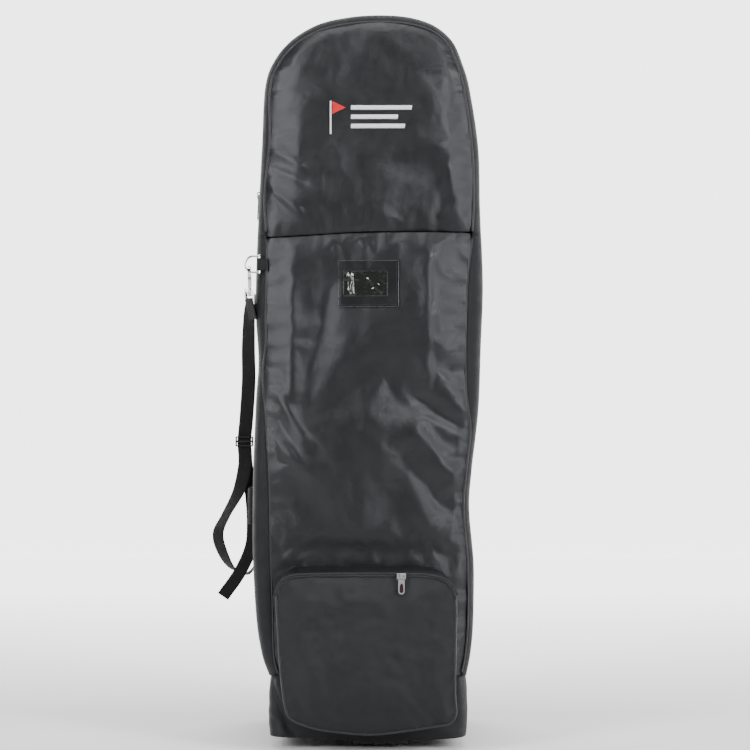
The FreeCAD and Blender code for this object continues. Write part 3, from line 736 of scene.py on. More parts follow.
def zip_valley(first, last, y):
    """How far the zipper draws the cloth in, to the straight line that the sliders run on."""
    x, z = np.abs(ARCH[first:last, 0]), ARCH[first:last, 1]
    proud = np.maximum(x - SLIDE_X + SLIDE_LEAN * (z - SLIDE_Z), 0)
    share = np.clip((z - 0.80) / 0.08, 0, 1) * np.clip((1.16 - z) / 0.04, 0, 1)
    return (proud * share)[:, None] * np.exp(-((y - ZIP_Y) / 0.018) ** 2)


def gusset_grid(first, last, seed, press=0.0):
    """Points of the gusset between two places along the outline, pressed in by the strap."""
    rows = []
    for i in range(first, last + 1):
        inset, y = gusset_profile(SEAM[i], np.linspace(0, 1, 76))
        x, z = (ARCH[i] - ARCH_NORMAL[i] * inset[:, None]).T
        rows.append(xyz(x, y, z))
    grid = np.array(rows)
    x, y, z = np.moveaxis(grid, -1, 0)
    side = np.clip((y - FRONT - 0.03) / 0.05, 0, 1) * np.clip((BACK - 0.03 - y) / 0.05, 0, 1)
    lift = 0.0032 * rough(x, y * 1.8, z * 0.7, 0.12, seed) * side
    lift += 0.0008 * rough(x, y * 2.2, z * 0.8, 0.045, seed + 3, 2) * (0.3 + 0.7 * side)
    lift *= np.clip((np.abs(y - ZIP_Y) - 0.010) / 0.03, 0, 1)
    lift -= press * side * np.exp(-((z - 0.36) / 0.16) ** 2) * np.clip((y + 0.075) / 0.04, 0, 1)
    lift -= zip_valley(first, last + 1, y)
    push_out(grid, first, lift)
    return grid


def build_gussets():
    """Side walls, the fixed crown behind the main zipper, and the hood's band before it."""
    left = gusset_grid(FOOT_LEFT, HOOD_LEFT, 2.2, 0.0085)
    right = gusset_grid(HOOD_RIGHT, FOOT_RIGHT, 6.1)
    crown = gusset_grid(HOOD_LEFT, HOOD_RIGHT, 11.4)
    depth = crown[len(crown) // 2, :, 1]
    hood_end = int(np.sum(depth < ZIP_Y - 0.0036))
    crown_start = int(np.sum(depth < ZIP_Y + 0.0030))
    pieces = [
        ("left_gusset_cloth", left, "case", "left_gusset"),
        ("right_gusset_cloth", right, "case", "right_gusset"),
        ("crown_cloth", crown[:, crown_start:], "case", "crown_gusset"),
        ("hood_band_cloth", crown[:, :hood_end], "hood", "hood_gusset"),
    ]
    for name, grid, body, node in pieces:
        cloth = thicken(grid_object(name, grid, SIDE_NYLON), 0.002)
        put(cloth, body, "shell_fabric", node)


def build_shell():
    put(front_panel(), "case", "shell_fabric", "front_panel")
    put(hood_front(), "hood", "shell_fabric", "hood_front")
    put(back_panel(), "case", "shell_fabric", "back_panel")
    build_gussets()


def build_piping():
    front = at_depth(SEAM_XZ, FRONT + corner_depth(SEAM) - 0.0012)
    back = at_depth(inside_outline(BACK_SEAM), BACK - corner_depth(BACK_SEAM) + 0.0012)
    cords = [
        ("front_piping_left", front[FOOT_LEFT:HOOD_LEFT], "case", "front_piping"),
        ("front_piping_right", front[HOOD_RIGHT + 1:FOOT_RIGHT], "case", "front_piping"),
        ("hood_piping_cord", front[HOOD_LEFT + 1:HOOD_RIGHT], "hood", "hood_piping"),
        ("back_piping_cord", back[FOOT_LEFT:FOOT_RIGHT], "case", "back_piping"),
    ]
    for name, path, body, node in cords:
        put(tube_along(name, path, 0.0024, PIPING), body, "piping", node)


def surface_point(x, z, lift=0.0):
    """Points on the cloth of the front, at places on its face, lifted off it by a little."""
    points = []
    for at_x, at_z in zip(np.ravel(x), np.ravel(z)):
        name = "hood_front_cloth" if at_z > HOOD_Z else "front_panel_cloth"
        hit = CLOTH_TREES[name].ray_cast(Vector((at_x, -0.5, at_z)), Vector((0, 1, 0)))[0]
        points.append((at_x, hit.y - lift, at_z))
    return np.array(points)


# Webbing and stitches

BAND_SECTION = [
    (-1.0, -0.3), (-0.95, -1.0), (-0.5, -1.0), (0.0, -1.0), (0.5, -1.0), (0.95, -1.0),
    (1.0, -0.3), (1.0, 0.3), (0.95, 1.0), (0.5, 1.0), (0.0, 1.0), (-0.5, 1.0), (-0.95, 1.0),
    (-1.0, 0.3),
]


def band(name, centre, wide, width, thick, material, scale=1.0):
    """Flat woven strap along a centre line, with its width along the given directions."""
    along = unit(np.gradient(centre, axis=0))
    wide = unit(wide - along * np.sum(along * wide, axis=1)[:, None])
    through = np.cross(along, wide)
    section = np.array(BAND_SECTION)
    size = np.broadcast_to(scale, len(centre))[:, None, None]
    grid = (centre[:, None]
            + wide[:, None] * (section[None, :, :1] * width / 2 * size)
            + through[:, None] * (section[None, :, 1:] * thick / 2 * size))
    count, sides = grid.shape[:2]
    faces = grid_faces(count, sides, around=True, caps=True)
    obj = make_object(name, grid.reshape(-1, 3), faces, material)
    run = run_along(centre)
    layer = obj.data.uv_layers.new(name="run")
    for loop in obj.data.loops:
        row, col = divmod(loop.vertex_index, sides)
        layer.data[loop.index].uv = (section[col, 0] * width / 2, run[row])
    return obj


def strap_band(name, path, width, thick, material, count=220):
    """Webbing along millimetre points with the turn of its width in degrees."""
    line = spline(path, count)
    turn = np.radians(line[:, 3])
    wide = xyz(np.cos(turn), np.sin(turn), 0.0)
    return band(name, line[:, :3] / 1000, wide, width, thick, material)


def thread_object(name, strands, radius, material):
    """Many short six-sided threads as one object. Each strand is a row of points."""
    verts, faces = [], []
    for strand in strands:
        p = np.asarray(strand, float)
        along = unit(p[-1] - p[0])
        side = np.cross(along, (0.0, 1.0, 0.0))
        if np.linalg.norm(side) < 0.2:
            side = np.cross(along, (1.0, 0.0, 0.0))
        side = unit(side)
        up = np.cross(along, side)
        start = len(verts)
        for i, point in enumerate(p):
            slim = 0.45 if i in (0, len(p) - 1) else 1.0
            for angle in np.arange(6) * math.pi / 3:
                off = side * math.cos(angle) + up * math.sin(angle)
                verts.append(point + off * radius * slim)
        faces += [tuple(start + k for k in face) for face in grid_faces(len(p), 6, around=True)]
        faces.append(tuple(start + 5 - j for j in range(6)))
        faces.append(tuple(start + (len(p) - 1) * 6 + j for j in range(6)))
    return make_object(name, verts, faces, material)


def stitch_row(points, stitch=0.0034, gap=0.0012, out=(0, -1, 0)):
    """Strands of a stitch line that follows the points, each humped outwards."""
    p = np.asarray(points, float)
    run = run_along(p)
    strands = []
    at = 0.0
    while at + stitch < run[-1]:
        strand = points_at(p, run, [at, at + stitch / 2, at + stitch])
        strand[1] += np.asarray(out) * 0.0004
        strands.append(strand)
        at += stitch + gap
    return strands


def box_stitches(centre, along, wide, length, width, out):
    """Square of stitches with a cross inside it."""
    c, a, w = (np.asarray(v, float) for v in (centre, along, wide))
    corners = [c + a * length / 2 * s + w * width / 2 * t
               for s, t in ((-1, -1), (-1, 1), (1, 1), (1, -1))]
    strands = []
    for first, second in ((0, 1), (1, 2), (2, 3), (3, 0), (0, 2), (1, 3)):
        strands += stitch_row([corners[first], corners[second]], 0.0026, 0.0009, out=out)
    return strands


# Front pocket

POCKET_FACE_Y = -0.2065
POCKET_EDGE = [
    (0.005, 0.027), (0.070, 0.034), (0.112, 0.041), (0.138, 0.046), (0.150, 0.062),
    (0.148, 0.10), (0.149, 0.18), (0.150, 0.250), (0.146, 0.272), (0.132, 0.2885),
    (0.105, 0.2965), (0.057, 0.2984), (-0.03, 0.2986), (-0.11, 0.2975), (-0.136, 0.2935),
    (-0.150, 0.281), (-0.1555, 0.260), (-0.154, 0.22), (-0.149, 0.14), (-0.141, 0.075),
    (-0.131, 0.054), (-0.100, 0.040), (-0.060, 0.032),
]
POCKET_FOLDS = [
    (-0.120, 0.20, -0.075, 0.06, 0.020, 0.0040, 1.0),
    (0.02, 0.27, 0.00, 0.10, 0.040, 0.0030, 1.0),
    (0.10, 0.25, 0.085, 0.08, 0.020, -0.0030, 1.0),
    (0.128, 0.10, 0.138, 0.056, 0.013, 0.0065, 1.0),
    (0.095, 0.075, 0.120, 0.050, 0.008, -0.0035, 1.0),
    (-0.13, 0.10, -0.10, 0.05, 0.010, -0.0030, 1.0),
    (-0.06, 0.065, 0.08, 0.060, 0.014, -0.0030, 1.0),
]


def closed_spline(points, count):
    """Evenly spaced points on a smooth closed curve, from the first point round to it again."""
    line = spline(points[-3:] + points + points[:4], count * 2)
    start = np.argmin(np.linalg.norm(line[:count] - points[0], axis=1))
    stop = count + np.argmin(np.linalg.norm(line[count:] - points[0], axis=1))
    inner = line[start:stop]
    pick = np.linspace(0, len(inner), count, endpoint=False)
    return points_at(inner, np.arange(len(inner)), pick)


POCKET_LINE = closed_spline(POCKET_EDGE, 260)
LID_FROM_Z = 0.262


def pocket_edge_y(z):
    """The pocket's front edge leans back a little towards its foot."""
    return POCKET_FACE_Y + 0.010 * np.clip((0.12 - z) / 0.10, 0, 1) ** 2


def pocket_back(points):
    """Where the pocket's sides meet the bag: wider at the top, drawn in at the sides."""
    x, z = points.T
    lift = 0.014 * np.clip((z - LID_FROM_Z) / 0.035, 0, 1)
    return np.stack([x * 0.985, z + lift], axis=1)


def pocket_face():
    flat, faces = panel_points(POCKET_LINE, 0.0055)
    x, z = flat.T
    edge = np.linalg.norm(flat[:, None, :] - POCKET_LINE[None, ::2, :], axis=2).min(axis=1)
    full = 1 - np.exp(-edge / 0.022)
    y = pocket_edge_y(z) - 0.0085 * full - folds_at(x, z, POCKET_FOLDS) * full
    y = y - 0.0022 * rough(x, x * 0, z, 0.06, 3.3) * full
    y = y - 0.0009 * rough(x, x * 0, z, 0.022, 8.3, 2) * full
    around = np.arctan2(z - 0.165, x)
    y = y - puckers(around * 0.15, edge, 0.016, 0.014, 0.0040, 2.9) * np.clip(edge / 0.006, 0, 1)
    # The pocket's cloth is darkened by painted shade of the bag's lower part
    return panel_object("pocket_face_cloth", x, y, z, faces, LOW_CLOTH_PAINTED_SHADE)


def pocket_side(name, keep, first, last, bulge, seed):
    """Side wall of the pocket along part of its edge, from the front edge to the bag."""
    front = POCKET_LINE[keep]
    back = pocket_back(front)
    middle = POCKET_LINE.mean(axis=0)
    out = unit(front - middle)
    t = np.linspace(first, last, 16)
    rows = []
    for k in range(len(front)):
        y0 = pocket_edge_y(front[k, 1])
        xz = front[k] * (1 - t[:, None]) + back[k] * t[:, None]
        swell = bulge * np.sin(math.pi * np.clip(t, 0, 1))
        swell = swell + 0.0020 * np.array([
            noise.noise(Vector((k * 0.06, s * 2.5, seed))) for s in t]) * np.sin(math.pi * t)
        xz = xz + out[k] * swell[:, None]
        y = y0 * (1 - t) + (FRONT - 0.004) * t
        rows.append(at_depth(xz, y))
    return thicken(grid_object(name, np.array(rows), LOW_CLOTH_PAINTED_SHADE), 0.0016)


def rolled(keep):
    """Indices of a stretch of the closed pocket edge, in order, starting after its gap."""
    gap = np.where(keep & ~np.roll(keep, 1))[0][0]
    order = np.roll(np.arange(len(keep)), -gap)
    return order[keep[order]]


def teeth_row(name, points, across, out, pitch):
    """Closed zipper coil: small rounded links across the line, one each pitch."""
    run = run_along(points)
    strands = []
    for i in range(int(run[-1] / pitch)):
        centre, a, o = (points_at(p, run, (i + 0.5) * pitch) for p in (points, across, out))
        strands.append([centre - a, centre - a * 0.6 + o, centre + a * 0.6 + o, centre + a])
    return thread_object(name, strands, pitch * 0.42, COIL)


def pocket_zip():
    line = POCKET_LINE[rolled(POCKET_LINE[:, 1] > LID_FROM_Z)]
    normal = at_depth(left_of(line), 0.0)
    centre = at_depth(line, pocket_edge_y(line[:, 1]) - 0.0008)
    out = np.tile([0.0, -0.0008, 0.0], (len(centre), 1))
    teeth = teeth_row("pocket_coil_teeth", centre, normal * 0.0026, out, 0.0016)
    put(teeth, "case", "zip_coil", "pocket_zip_coil")
    for label, low, high, body in (("inner", -0.0075, -0.0022, "case"),
                                   ("outer", 0.0022, 0.0065, "pocket_lid")):
        grid = np.stack([centre - normal * off for off in np.linspace(low, high, 4)], axis=1)
        tape = grid_object("pocket_tape_" + label, grid, ZIP_TAPE)
        put(thicken(tape, 0.0008, 0.0), body, "zip_tape")


def build_pocket():
    put(pocket_face(), "case", "shell_fabric", "pocket_face")
    low = rolled(POCKET_LINE[:, 1] <= LID_FROM_Z)
    high = rolled(POCKET_LINE[:, 1] > LID_FROM_Z + 0.001)
    put(pocket_side("pocket_band_cloth", low, 0.02, 1.0, 0.004, 1.0), "case", "shell_fabric",
        "pocket_band")
    put(pocket_side("pocket_lid_cloth", high, 0.10, 1.0, 0.003, 5.0), "pocket_lid",
        "shell_fabric", "pocket_lid")
    line = POCKET_LINE[low]
    path = at_depth(line, pocket_edge_y(line[:, 1]) + 0.0003)
    put(tube_along("pocket_piping_cord", path, 0.0023, PIPING), "case", "piping",
        "pocket_piping")
    rim = pocket_back(POCKET_LINE[high])
    join = xyz(rim[:, 0], FRONT - 0.0052, rim[:, 1] + 0.0008)
    put(tube_along("pocket_lid_seam", join, 0.0012, PIPING), "pocket_lid", "shell_fabric")
    pocket_zip()


# Boot


def rounded_loop(half, front, back, radius, count):
    """Closed rounded rectangle seen from above."""
    corners = [
        (half - radius, front + radius, -90), (half - radius, back - radius, 0),
        (-half + radius, back - radius, 90), (-half + radius, front + radius, 180),
    ]
    points = []
    for x, y, start in corners:
        for a in np.radians(np.linspace(start, start + 90, 9)):
            points.append((x + radius * math.cos(a), y + radius * math.sin(a)))
    points = np.array(points + points[:1])
    run = run_along(points)
    return points_at(points, run, np.linspace(0, run[-1], count, endpoint=False))


BOOT_FOLDS = [
    (-0.166, 0.108, -0.140, 0.032, 0.0055, -0.0050, 1.0),
    (-0.158, 0.105, -0.136, 0.050, 0.006, 0.0045, 1.0),
    (-0.168, 0.060, -0.145, 0.028, 0.006, 0.0035, 1.0),
    (-0.162, 0.042, -0.130, 0.022, 0.0055, -0.0035, 1.0),
    (0.130, 0.060, 0.165, 0.030, 0.009, -0.0030, 1.0),
    (0.155, 0.110, 0.160, 0.040, 0.008, 0.0030, 1.0),
]


def housing_area(x, y):
    """Whether a place is where a wheel housing stands in the boot's wall or floor."""
    return abs(x) > 0.119 and y > 0.079


def build_boot():
    loop = rounded_loop(0.1715, FRONT, BACK, 0.026, 300)
    tangent = unit(np.roll(loop, -1, axis=0) - np.roll(loop, 1, axis=0))
    out = np.stack([tangent[:, 1], -tangent[:, 0]], axis=1)
    x, y = loop.T
    heights = np.concatenate([[0.0135, 0.0132], np.linspace(0.0142, 0.128, 30)])
    rows = []
    for k, z in enumerate(heights):
        shift = np.full(len(loop), -0.004 if k == 0 else 0.0)
        shift -= 0.006 * max(0.0, (z - 0.112) / 0.016)
        shift += 0.0022 * math.sin(math.pi * min(max((z - 0.013) / 0.1, 0), 1))
        zs = np.full(len(loop), z)
        shift += 0.0016 * rough(x, y, zs, 0.05, 4.4)
        facing = np.clip(-out[:, 1], 0, 1)
        shift += folds_at(x, zs, BOOT_FOLDS) * facing
        dip = 0.0085 * np.clip(1 - np.abs(x - 0.02) / 0.17, 0, 1) * facing
        zs = zs - dip * np.clip((0.05 - z) / 0.037, 0, 1)
        rows.append(xyz(x + out[:, 0] * shift, y + out[:, 1] * shift, zs))
    flat = np.array(rows).reshape(-1, 3)
    faces = []
    for face in grid_faces(len(heights), len(loop), around=True):
        centre = flat[list(face)].mean(axis=0)
        if not (housing_area(centre[0], centre[1]) and centre[2] < 0.078):
            faces.append(face)
    # The boot's cloth is darkened by painted shade of the bag's lower part
    wall = make_object("boot_wall_cloth", flat, faces, LOW_CLOTH_PAINTED_SHADE)
    put(wall, "case", "boot_fabric", "base_boot")
    plane, tiles = panel_points(loop * 0.975, 0.012)
    tiles = [t for t in tiles if not housing_area(*plane[list(t)].mean(axis=0))]
    x, y = plane.T
    z = 0.0137 + 0.0004 * rough(x, y, x * 0, 0.05, 2.0)
    floor = make_object("boot_floor_cloth", xyz(x, y, z), tiles, LOW_CLOTH_PAINTED_SHADE)
    put(thicken(floor, 0.0010), "case", "boot_fabric")


# Main zipper


def crown_strip(first, last, depths, lift):
    """Points along the outline at the given depths, a little above the crown's cloth."""
    y = np.tile(depths, (last - first, 1))
    out = lift - zip_valley(first, last, y)
    x = ARCH[first:last, :1] + ARCH_NORMAL[first:last, :1] * out
    z = ARCH[first:last, 1:] + ARCH_NORMAL[first:last, 1:] * out
    return xyz(x, y, z)


def build_main_zip():
    first, last = HOOD_LEFT, HOOD_RIGHT + 1
    halves = [
        # label, body, the tape's front and back edge, and its stitches
        ("hood", "hood", -0.093, -0.0812, -0.0905), ("body", "case", -0.0748, -0.063, -0.0652),
    ]
    for label, body, near, far, _ in halves:
        strip = crown_strip(first, last, np.linspace(near, far, 6), 0.0012)
        tape = thicken(grid_object(label + "_zip_tape", strip, ZIP_TAPE), 0.0010)
        put(tape, body, "zip_tape", "main_zip_tape_" + label)
    centre = crown_strip(first, last, [ZIP_Y], 0.0004)[:, 0]
    across = np.tile([0.0, 0.0029, 0.0], (len(centre), 1))
    out = at_depth(ARCH_NORMAL[first:last], 0.0) * 0.0012
    teeth = teeth_row("main_coil_teeth", centre, across, out, 0.0022)
    put(teeth, "case", "zip_coil", "main_zip_coil")
    for label, body, _, _, sewn in halves:
        rows = stitch_row(crown_strip(first, last, [sewn], 0.0018)[:, 0], out=(0, 0, 0))
        threads = thread_object("zip_stitches_" + label, rows, FINE_THREAD, THREAD_DARK)
        put(threads, body, "zip_tape")


# Padding inside the hood and crown


def build_padding():
    inner = inside_outline(PAD_INSET)
    keep = inner[inner[:, 1] > HOOD_Z + 0.016]
    x = np.linspace(keep[-1, 0], keep[0, 0], 40)[1:-1]
    base = np.stack([x, np.full(len(x), HOOD_Z + 0.014)], axis=1)
    flat, faces = panel_points(np.vstack([keep, base]), 0.010)
    x, z = flat.T
    edge = np.clip(inset_from_outline(x, z) - PAD_INSET, 0, 0.02) / 0.02
    quilt = np.abs(np.sin((x + z) * 45)) * np.abs(np.sin((x - z) * 45))
    y = -0.1400 + 0.0035 * edge * (0.4 + 0.6 * quilt)
    pad = make_object("hood_foam_pad", xyz(x, y, z), faces, FOAM)
    face_towards(pad, 1)
    put(subdivide(thicken(pad, 0.006)), "hood", "foam", "hood_foam")
    first, last = arch_index(1.03, -1), arch_index(1.03, 1)
    depths = np.linspace(-0.066, 0.120, 26)
    grid = crown_strip(first, last, depths, -0.0075)
    u = np.linspace(0, 40, len(grid))[:, None]
    v = np.linspace(0, 9, len(depths))[None, :]
    puff = 0.0022 * np.abs(np.sin((u + v) * math.pi / 2)) * np.abs(np.sin((u - v) * math.pi / 2))
    push_out(grid, first, -puff)
    lining = grid_object("crown_foam_pad", grid, FOAM)
    put(thicken(lining, 0.005, 0.0), "case", "foam", "crown_foam")


# Card window and emblem


def front_grid(x0, x1, cols, z0, z1, rows, lift):
    """Grid of points on the front's cloth, in rows from the bottom up."""
    x, z = np.meshgrid(np.linspace(x0, x1, cols), np.linspace(z0, z1, rows))
    return surface_point(x, z, lift).reshape(rows, cols, 3)


def build_window():
    x0, x1, z0, z1 = -0.0505, 0.0525, 0.760, 0.8395
    in_x0, in_x1, in_z0, in_z1 = -0.0425, 0.0330, 0.7785, 0.8215
    grid = front_grid(x0, x1, 54, z0, z1, 42, 0.0016)
    verts = grid.reshape(-1, 3)
    faces = []
    for face in grid_faces(*grid.shape[:2]):
        x, _, z = verts[list(face)].mean(axis=0)
        if not (in_x0 < x < in_x1 and in_z0 < z < in_z1):
            faces.append(face)
    border = make_object("window_frame_vinyl", verts, faces, VINYL)
    put(thicken(border, 0.0011), "case", "window_vinyl", "window_frame")
    rims = [(x0, x1, z0, z1, 0.0009), (in_x0, in_x1, in_z0, in_z1, 0.0008)]
    for k, (a, b, c, d, radius) in enumerate(rims):
        corners = np.array([(a, c), (b, c), (b, d), (a, d)])
        steps = np.linspace(0, 1, 24, endpoint=False)[:, None]
        sides = zip(corners, np.roll(corners, -1, axis=0))
        path = np.vstack([p + (q - p) * steps for p, q in sides])
        points = surface_point(*path.T, 0.0020)
        # The rims' lighter colour is painted highlight
        rim = tube_along("window_rim_%d" % k, points, radius, RIM_PAINTED_HIGHLIGHT, 8, closed=True)
        put(rim, "case", "window_vinyl")
    stitches = []
    margin = 0.0035
    left, right, low, high = x0 + margin, x1 - margin, z0 + margin, z1 - margin
    edge = [(left, high), (left, low), (right, low), (right, high)]
    t = np.linspace(0, 1, 30)
    for p, q in zip(edge[:-1], edge[1:]):
        line = surface_point(p[0] + (q[0] - p[0]) * t, p[1] + (q[1] - p[1]) * t, 0.0023)
        stitches += stitch_row(line)
    threads = thread_object("window_stitches", stitches, FINE_THREAD, THREAD_DARK)
    put(threads, "case", "window_vinyl")
    base = front_grid(in_x0, in_x1, 70, in_z0, in_z1, 44, 0.0011)
    x, z = base[..., 0], base[..., 2]
    film = base.copy()
    film[..., 1] -= (0.0016 + 0.0012 * rough(x, x * 0, z, 0.013, 5.5)
                     + fold(x, z, -0.031, 0.812, -0.027, 0.783, 0.004, 0.0030)
                     + fold(x, z, 0.004, 0.806, 0.022, 0.790, 0.005, 0.0026))
    put(grid_object("window_film_clear", film, FILM), "case", "window_film", "window_film")
    put(grid_object("window_card", base, CARD), "case", "name_card", "name_card")


def satin(strokes, points=5):
    """Threads of an embroidered shape: each stroke runs between two places on the front."""
    t = np.linspace(0, 1, points)
    strands = []
    for xa, za, xb, zb in strokes:
        strand = surface_point(xa + (xb - xa) * t, za + (zb - za) * t, 0.0016)
        strand[:, 1] -= 0.0007 * np.sin(math.pi * t)
        strands.append(strand)
    return strands


def build_emblem():
    pitch = 0.00075
    pole = [(-0.0662, z, -0.0630, z + 0.0004) for z in np.arange(1.0585, 1.1150, pitch)]
    flag = []
    for z in np.arange(1.0925, 1.1145, pitch):
        reach = 0.0245 * (1 - abs(z - 1.1035) / 0.0115)
        if reach > 0.002:
            flag.append((-0.0622, z, -0.0622 + reach, z + 0.0003))
    stripes = []
    for low, right in ((1.100, 0.0755), (1.084, 0.0515), (1.068, 0.0635)):
        for x in np.arange(-0.0295, right, pitch):
            stripes.append((x, low, x + 0.0008, low + 0.0080))
    shapes = [
        ("emblem_pole", satin(pole), THREAD_WHITE, "thread_white"),
        ("emblem_flag", satin(flag, 7), THREAD_RED, "thread_red"),
        ("emblem_stripes", satin(stripes), THREAD_WHITE, "thread_white"),
    ]
    for node, strands, material, slot in shapes:
        threads = thread_object(node + "_satin", strands, pitch * 0.6, material)
        put(threads, "hood", slot, node)


# Shoulder strap and handles

STRAP_PATH = [
    (-206, -128.8, 768.3, -55), (-209, -112, 740, -36), (-212, -85, 688, -20),
    (-214, -48, 630, -8), (-220, -19, 564, 0), (-224, -12, 522, 0), (-223, -9, 480, 0),
    (-235, 3, 433, -30), (-259, 5, 387, -48), (-273, 5, 353, -34), (-264, 10, 317, -36),
    (-248, 30, 288, -60), (-225, 62, 277, -90), (-208, 77, 292, -75), (-206, 74.5, 319.5, -65),
]
TAIL_PATH = [
    (-224, -5, 509, 0), (-220, 6, 470, 0), (-213, 14, 420, 0), (-210, 10, 370, 0),
    (-213, 0, 330, 0), (-232, -12, 286, 0), (-262, -22, 243, 0),
]
STRAP_ENDS = [
    # piece, the swivel loop's bar, the bar's turn in degrees, and where the strap goes from it
    ("strap_top_fold", (-0.206, -0.1307, 0.7728), -55, (-0.212, -0.085, 0.688)),
    ("strap_low_fold", (-0.206, 0.0723, 0.3248), -65, (-0.208, 0.077, 0.292)),
]


def strap_end(name, bar, turn, towards):
    """Webbing folded round the swivel loop's bar and sewn back on itself."""
    bar = np.array(bar)
    axis = np.array([math.cos(math.radians(turn)), math.sin(math.radians(turn)), 0.0])
    down = np.array(towards) - bar
    down = unit(down - axis * down.dot(axis))
    side = np.cross(axis, down)
    path = [bar + down * 0.034 + side * 0.0031, bar + down * 0.012 + side * 0.0033]
    for angle in np.radians(np.arange(70, 291, 20)):
        path.append(bar + (down * math.cos(angle) + side * math.sin(angle)) * 0.0029)
    path += [bar + down * 0.012 - side * 0.0029, bar + down * 0.034 - side * 0.0022]
    put(band(name, spline(path, 70), axis, STRAP_WIDTH, 0.0016, WEBBING), "strap", "webbing")
    centre = bar + down * 0.024 + side * 0.0044
    stitches = box_stitches(centre, down, axis, 0.016, 0.018, side)
    put(thread_object(name + "_stitches", stitches, THREAD, THREAD_DARK), "strap", "webbing")


def build_strap():
    main = strap_band("strap_webbing_band", STRAP_PATH, STRAP_WIDTH, 0.0018, WEBBING)
    put(main, "strap", "webbing", "strap_webbing")
    tail = strap_band("strap_tail_band", TAIL_PATH, 0.0225, 0.0017, WEBBING, 120)
    put(tail, "strap", "webbing", "strap_tail")
    for end in STRAP_ENDS:
        strap_end(*end)
    for node in ("upper_ring_tab", "lower_ring_tab"):
        ring_tab_band(node)


def ring_tab_band(node):
    """Short webbing loop that holds a ring to the side wall."""
    low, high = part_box(node)
    mid = [(low[k] + high[k]) / 2 for k in range(3)]
    bar = low[0] + 0.0038
    path = [(high[0] + 0.004, mid[1] - 0.0030, mid[2]), (bar + 0.003, mid[1] - 0.0030, mid[2])]
    for angle in np.radians(np.arange(270, 89, -20)):
        path.append((bar + 0.0030 * math.cos(angle), mid[1] + 0.0030 * math.sin(angle), mid[2]))
    path += [(bar + 0.003, mid[1] + 0.0030, mid[2]), (high[0] + 0.004, mid[1] + 0.0030, mid[2])]
    web = band(node + "_band", spline(path, 60), (0.0, 0.0, 1.0), high[2] - low[2], 0.0015,
               WEBBING)
    put(web, "case", "webbing", node)


def carry_handle(name, origin, out, along, length, rise, width, grip_node):
    """Webbing handle with sewn ends and a moulded sleeve in its middle."""
    origin, out, along = (np.asarray(v, float) for v in (origin, out, along))
    wide = np.cross(out, along)
    t = np.linspace(-1, 1, 90)
    lift = rise * (1 - np.abs(np.sin(math.pi * t / 2)) ** 3) + 0.0016
    line = origin + out * lift[:, None] + along * (t * length / 2)[:, None]
    web = band(name + "_band", line, wide, width, 0.0026, WEBBING)
    put(web, "case", "webbing", name)
    strands = []
    for end in (-1, 1):
        centre = origin + along * end * (length / 2 - 0.011) + out * 0.0048
        strands += box_stitches(centre, along, wide, 0.018, width * 0.75, out)
    put(thread_object(name + "_stitches", strands, THREAD, THREAD_DARK), "case", "webbing")
    s = np.linspace(-1, 1, 46)
    swell = (1 - 0.18 * np.abs(s) ** 6) * (1 + 0.035 * np.sin(s * 40) * (np.abs(s) < 0.85))
    core = origin + out * (rise + 0.0036) + along * (s * length * 0.21)[:, None]
    grip = band(name + "_sleeve", core, wide, width + 0.007, 0.0105, GRIP_RUBBER, swell)
    put(subdivide(grip), "case", "grip", grip_node)


def build_handles():
    carry_handle("side_handle", (-0.1935, -0.040, 0.408), (-1, 0, 0), (0, 0, 1), 0.156, 0.013,
                 0.028, "side_handle_grip")
    carry_handle("tow_handle", (0.0, 0.1500, 1.120), (0, 1, 0), (1, 0, 0), 0.190, 0.022,
                 0.030, "tow_handle_grip")


# Wheels and the hard pieces that keep their designed shape


def lathe(name, profile, centre, material, count=72):
    """Round piece about a line along X. The profile has distances along X and radii."""
    turn = np.linspace(0, 2 * math.pi, count, endpoint=False)
    rows = [xyz(centre[0] + x, centre[1] + r * np.cos(turn), centre[2] + r * np.sin(turn))
            for x, r in profile]
    faces = grid_faces(len(rows), count, around=True, back_to_start=True)
    obj = make_object(name, np.array(rows).reshape(-1, 3), faces, material)
    mod = obj.modifiers.new("edges", "EDGE_SPLIT")
    mod.split_angle = math.radians(35)
    return obj


def tyre_profile():
    """Rounded tread with three shallow grooves."""
    points = [(-0.011, 0.0222), (-0.011, 0.0285), (-0.0100, 0.0312), (-0.0080, 0.0326)]
    for x in (-0.005, 0.0, 0.005):
        points += [(x - 0.0009, 0.0330), (x - 0.0006, 0.0318), (x + 0.0006, 0.0318),
                   (x + 0.0009, 0.0330)]
    points += [(0.0080, 0.0326), (0.0100, 0.0312), (0.011, 0.0285), (0.011, 0.0222)]
    return points


def build_wheels():
    for side, sign in (("left", -1), ("right", 1)):
        tyre = lathe("tyre_" + side, tyre_profile(), (sign * WHEEL_X, WHEEL_Y, WHEEL_R),
                     TYRE_RUBBER)
        put(tyre, "wheel_" + side, "tyre", "wheel_tyre_" + side)


KEPT = [
    (HUB_PLASTIC, "wheel_hub_left", "wheel_hub_right"),
    (STEEL, "wheel_axles", "housing_rivets"),
    (BLACK_PLASTIC, "wheel_housing_left", "wheel_housing_right", "base_skid", "strap_adjuster"),
    (BOARD, "base_board"),
    (CHROME, "upper_d_ring", "lower_d_ring", "upper_hook", "lower_hook", "upper_gate",
     "lower_gate", "upper_loop", "lower_loop", "main_slider_left", "main_slider_right",
     "main_pull_left", "main_pull_right", "pocket_slider", "pocket_pull"),
]


def build_kept():
    for material, *nodes in KEPT:
        for node in nodes:
            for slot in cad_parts[node].material_slots:
                slot.material = material
    pull_inlay()


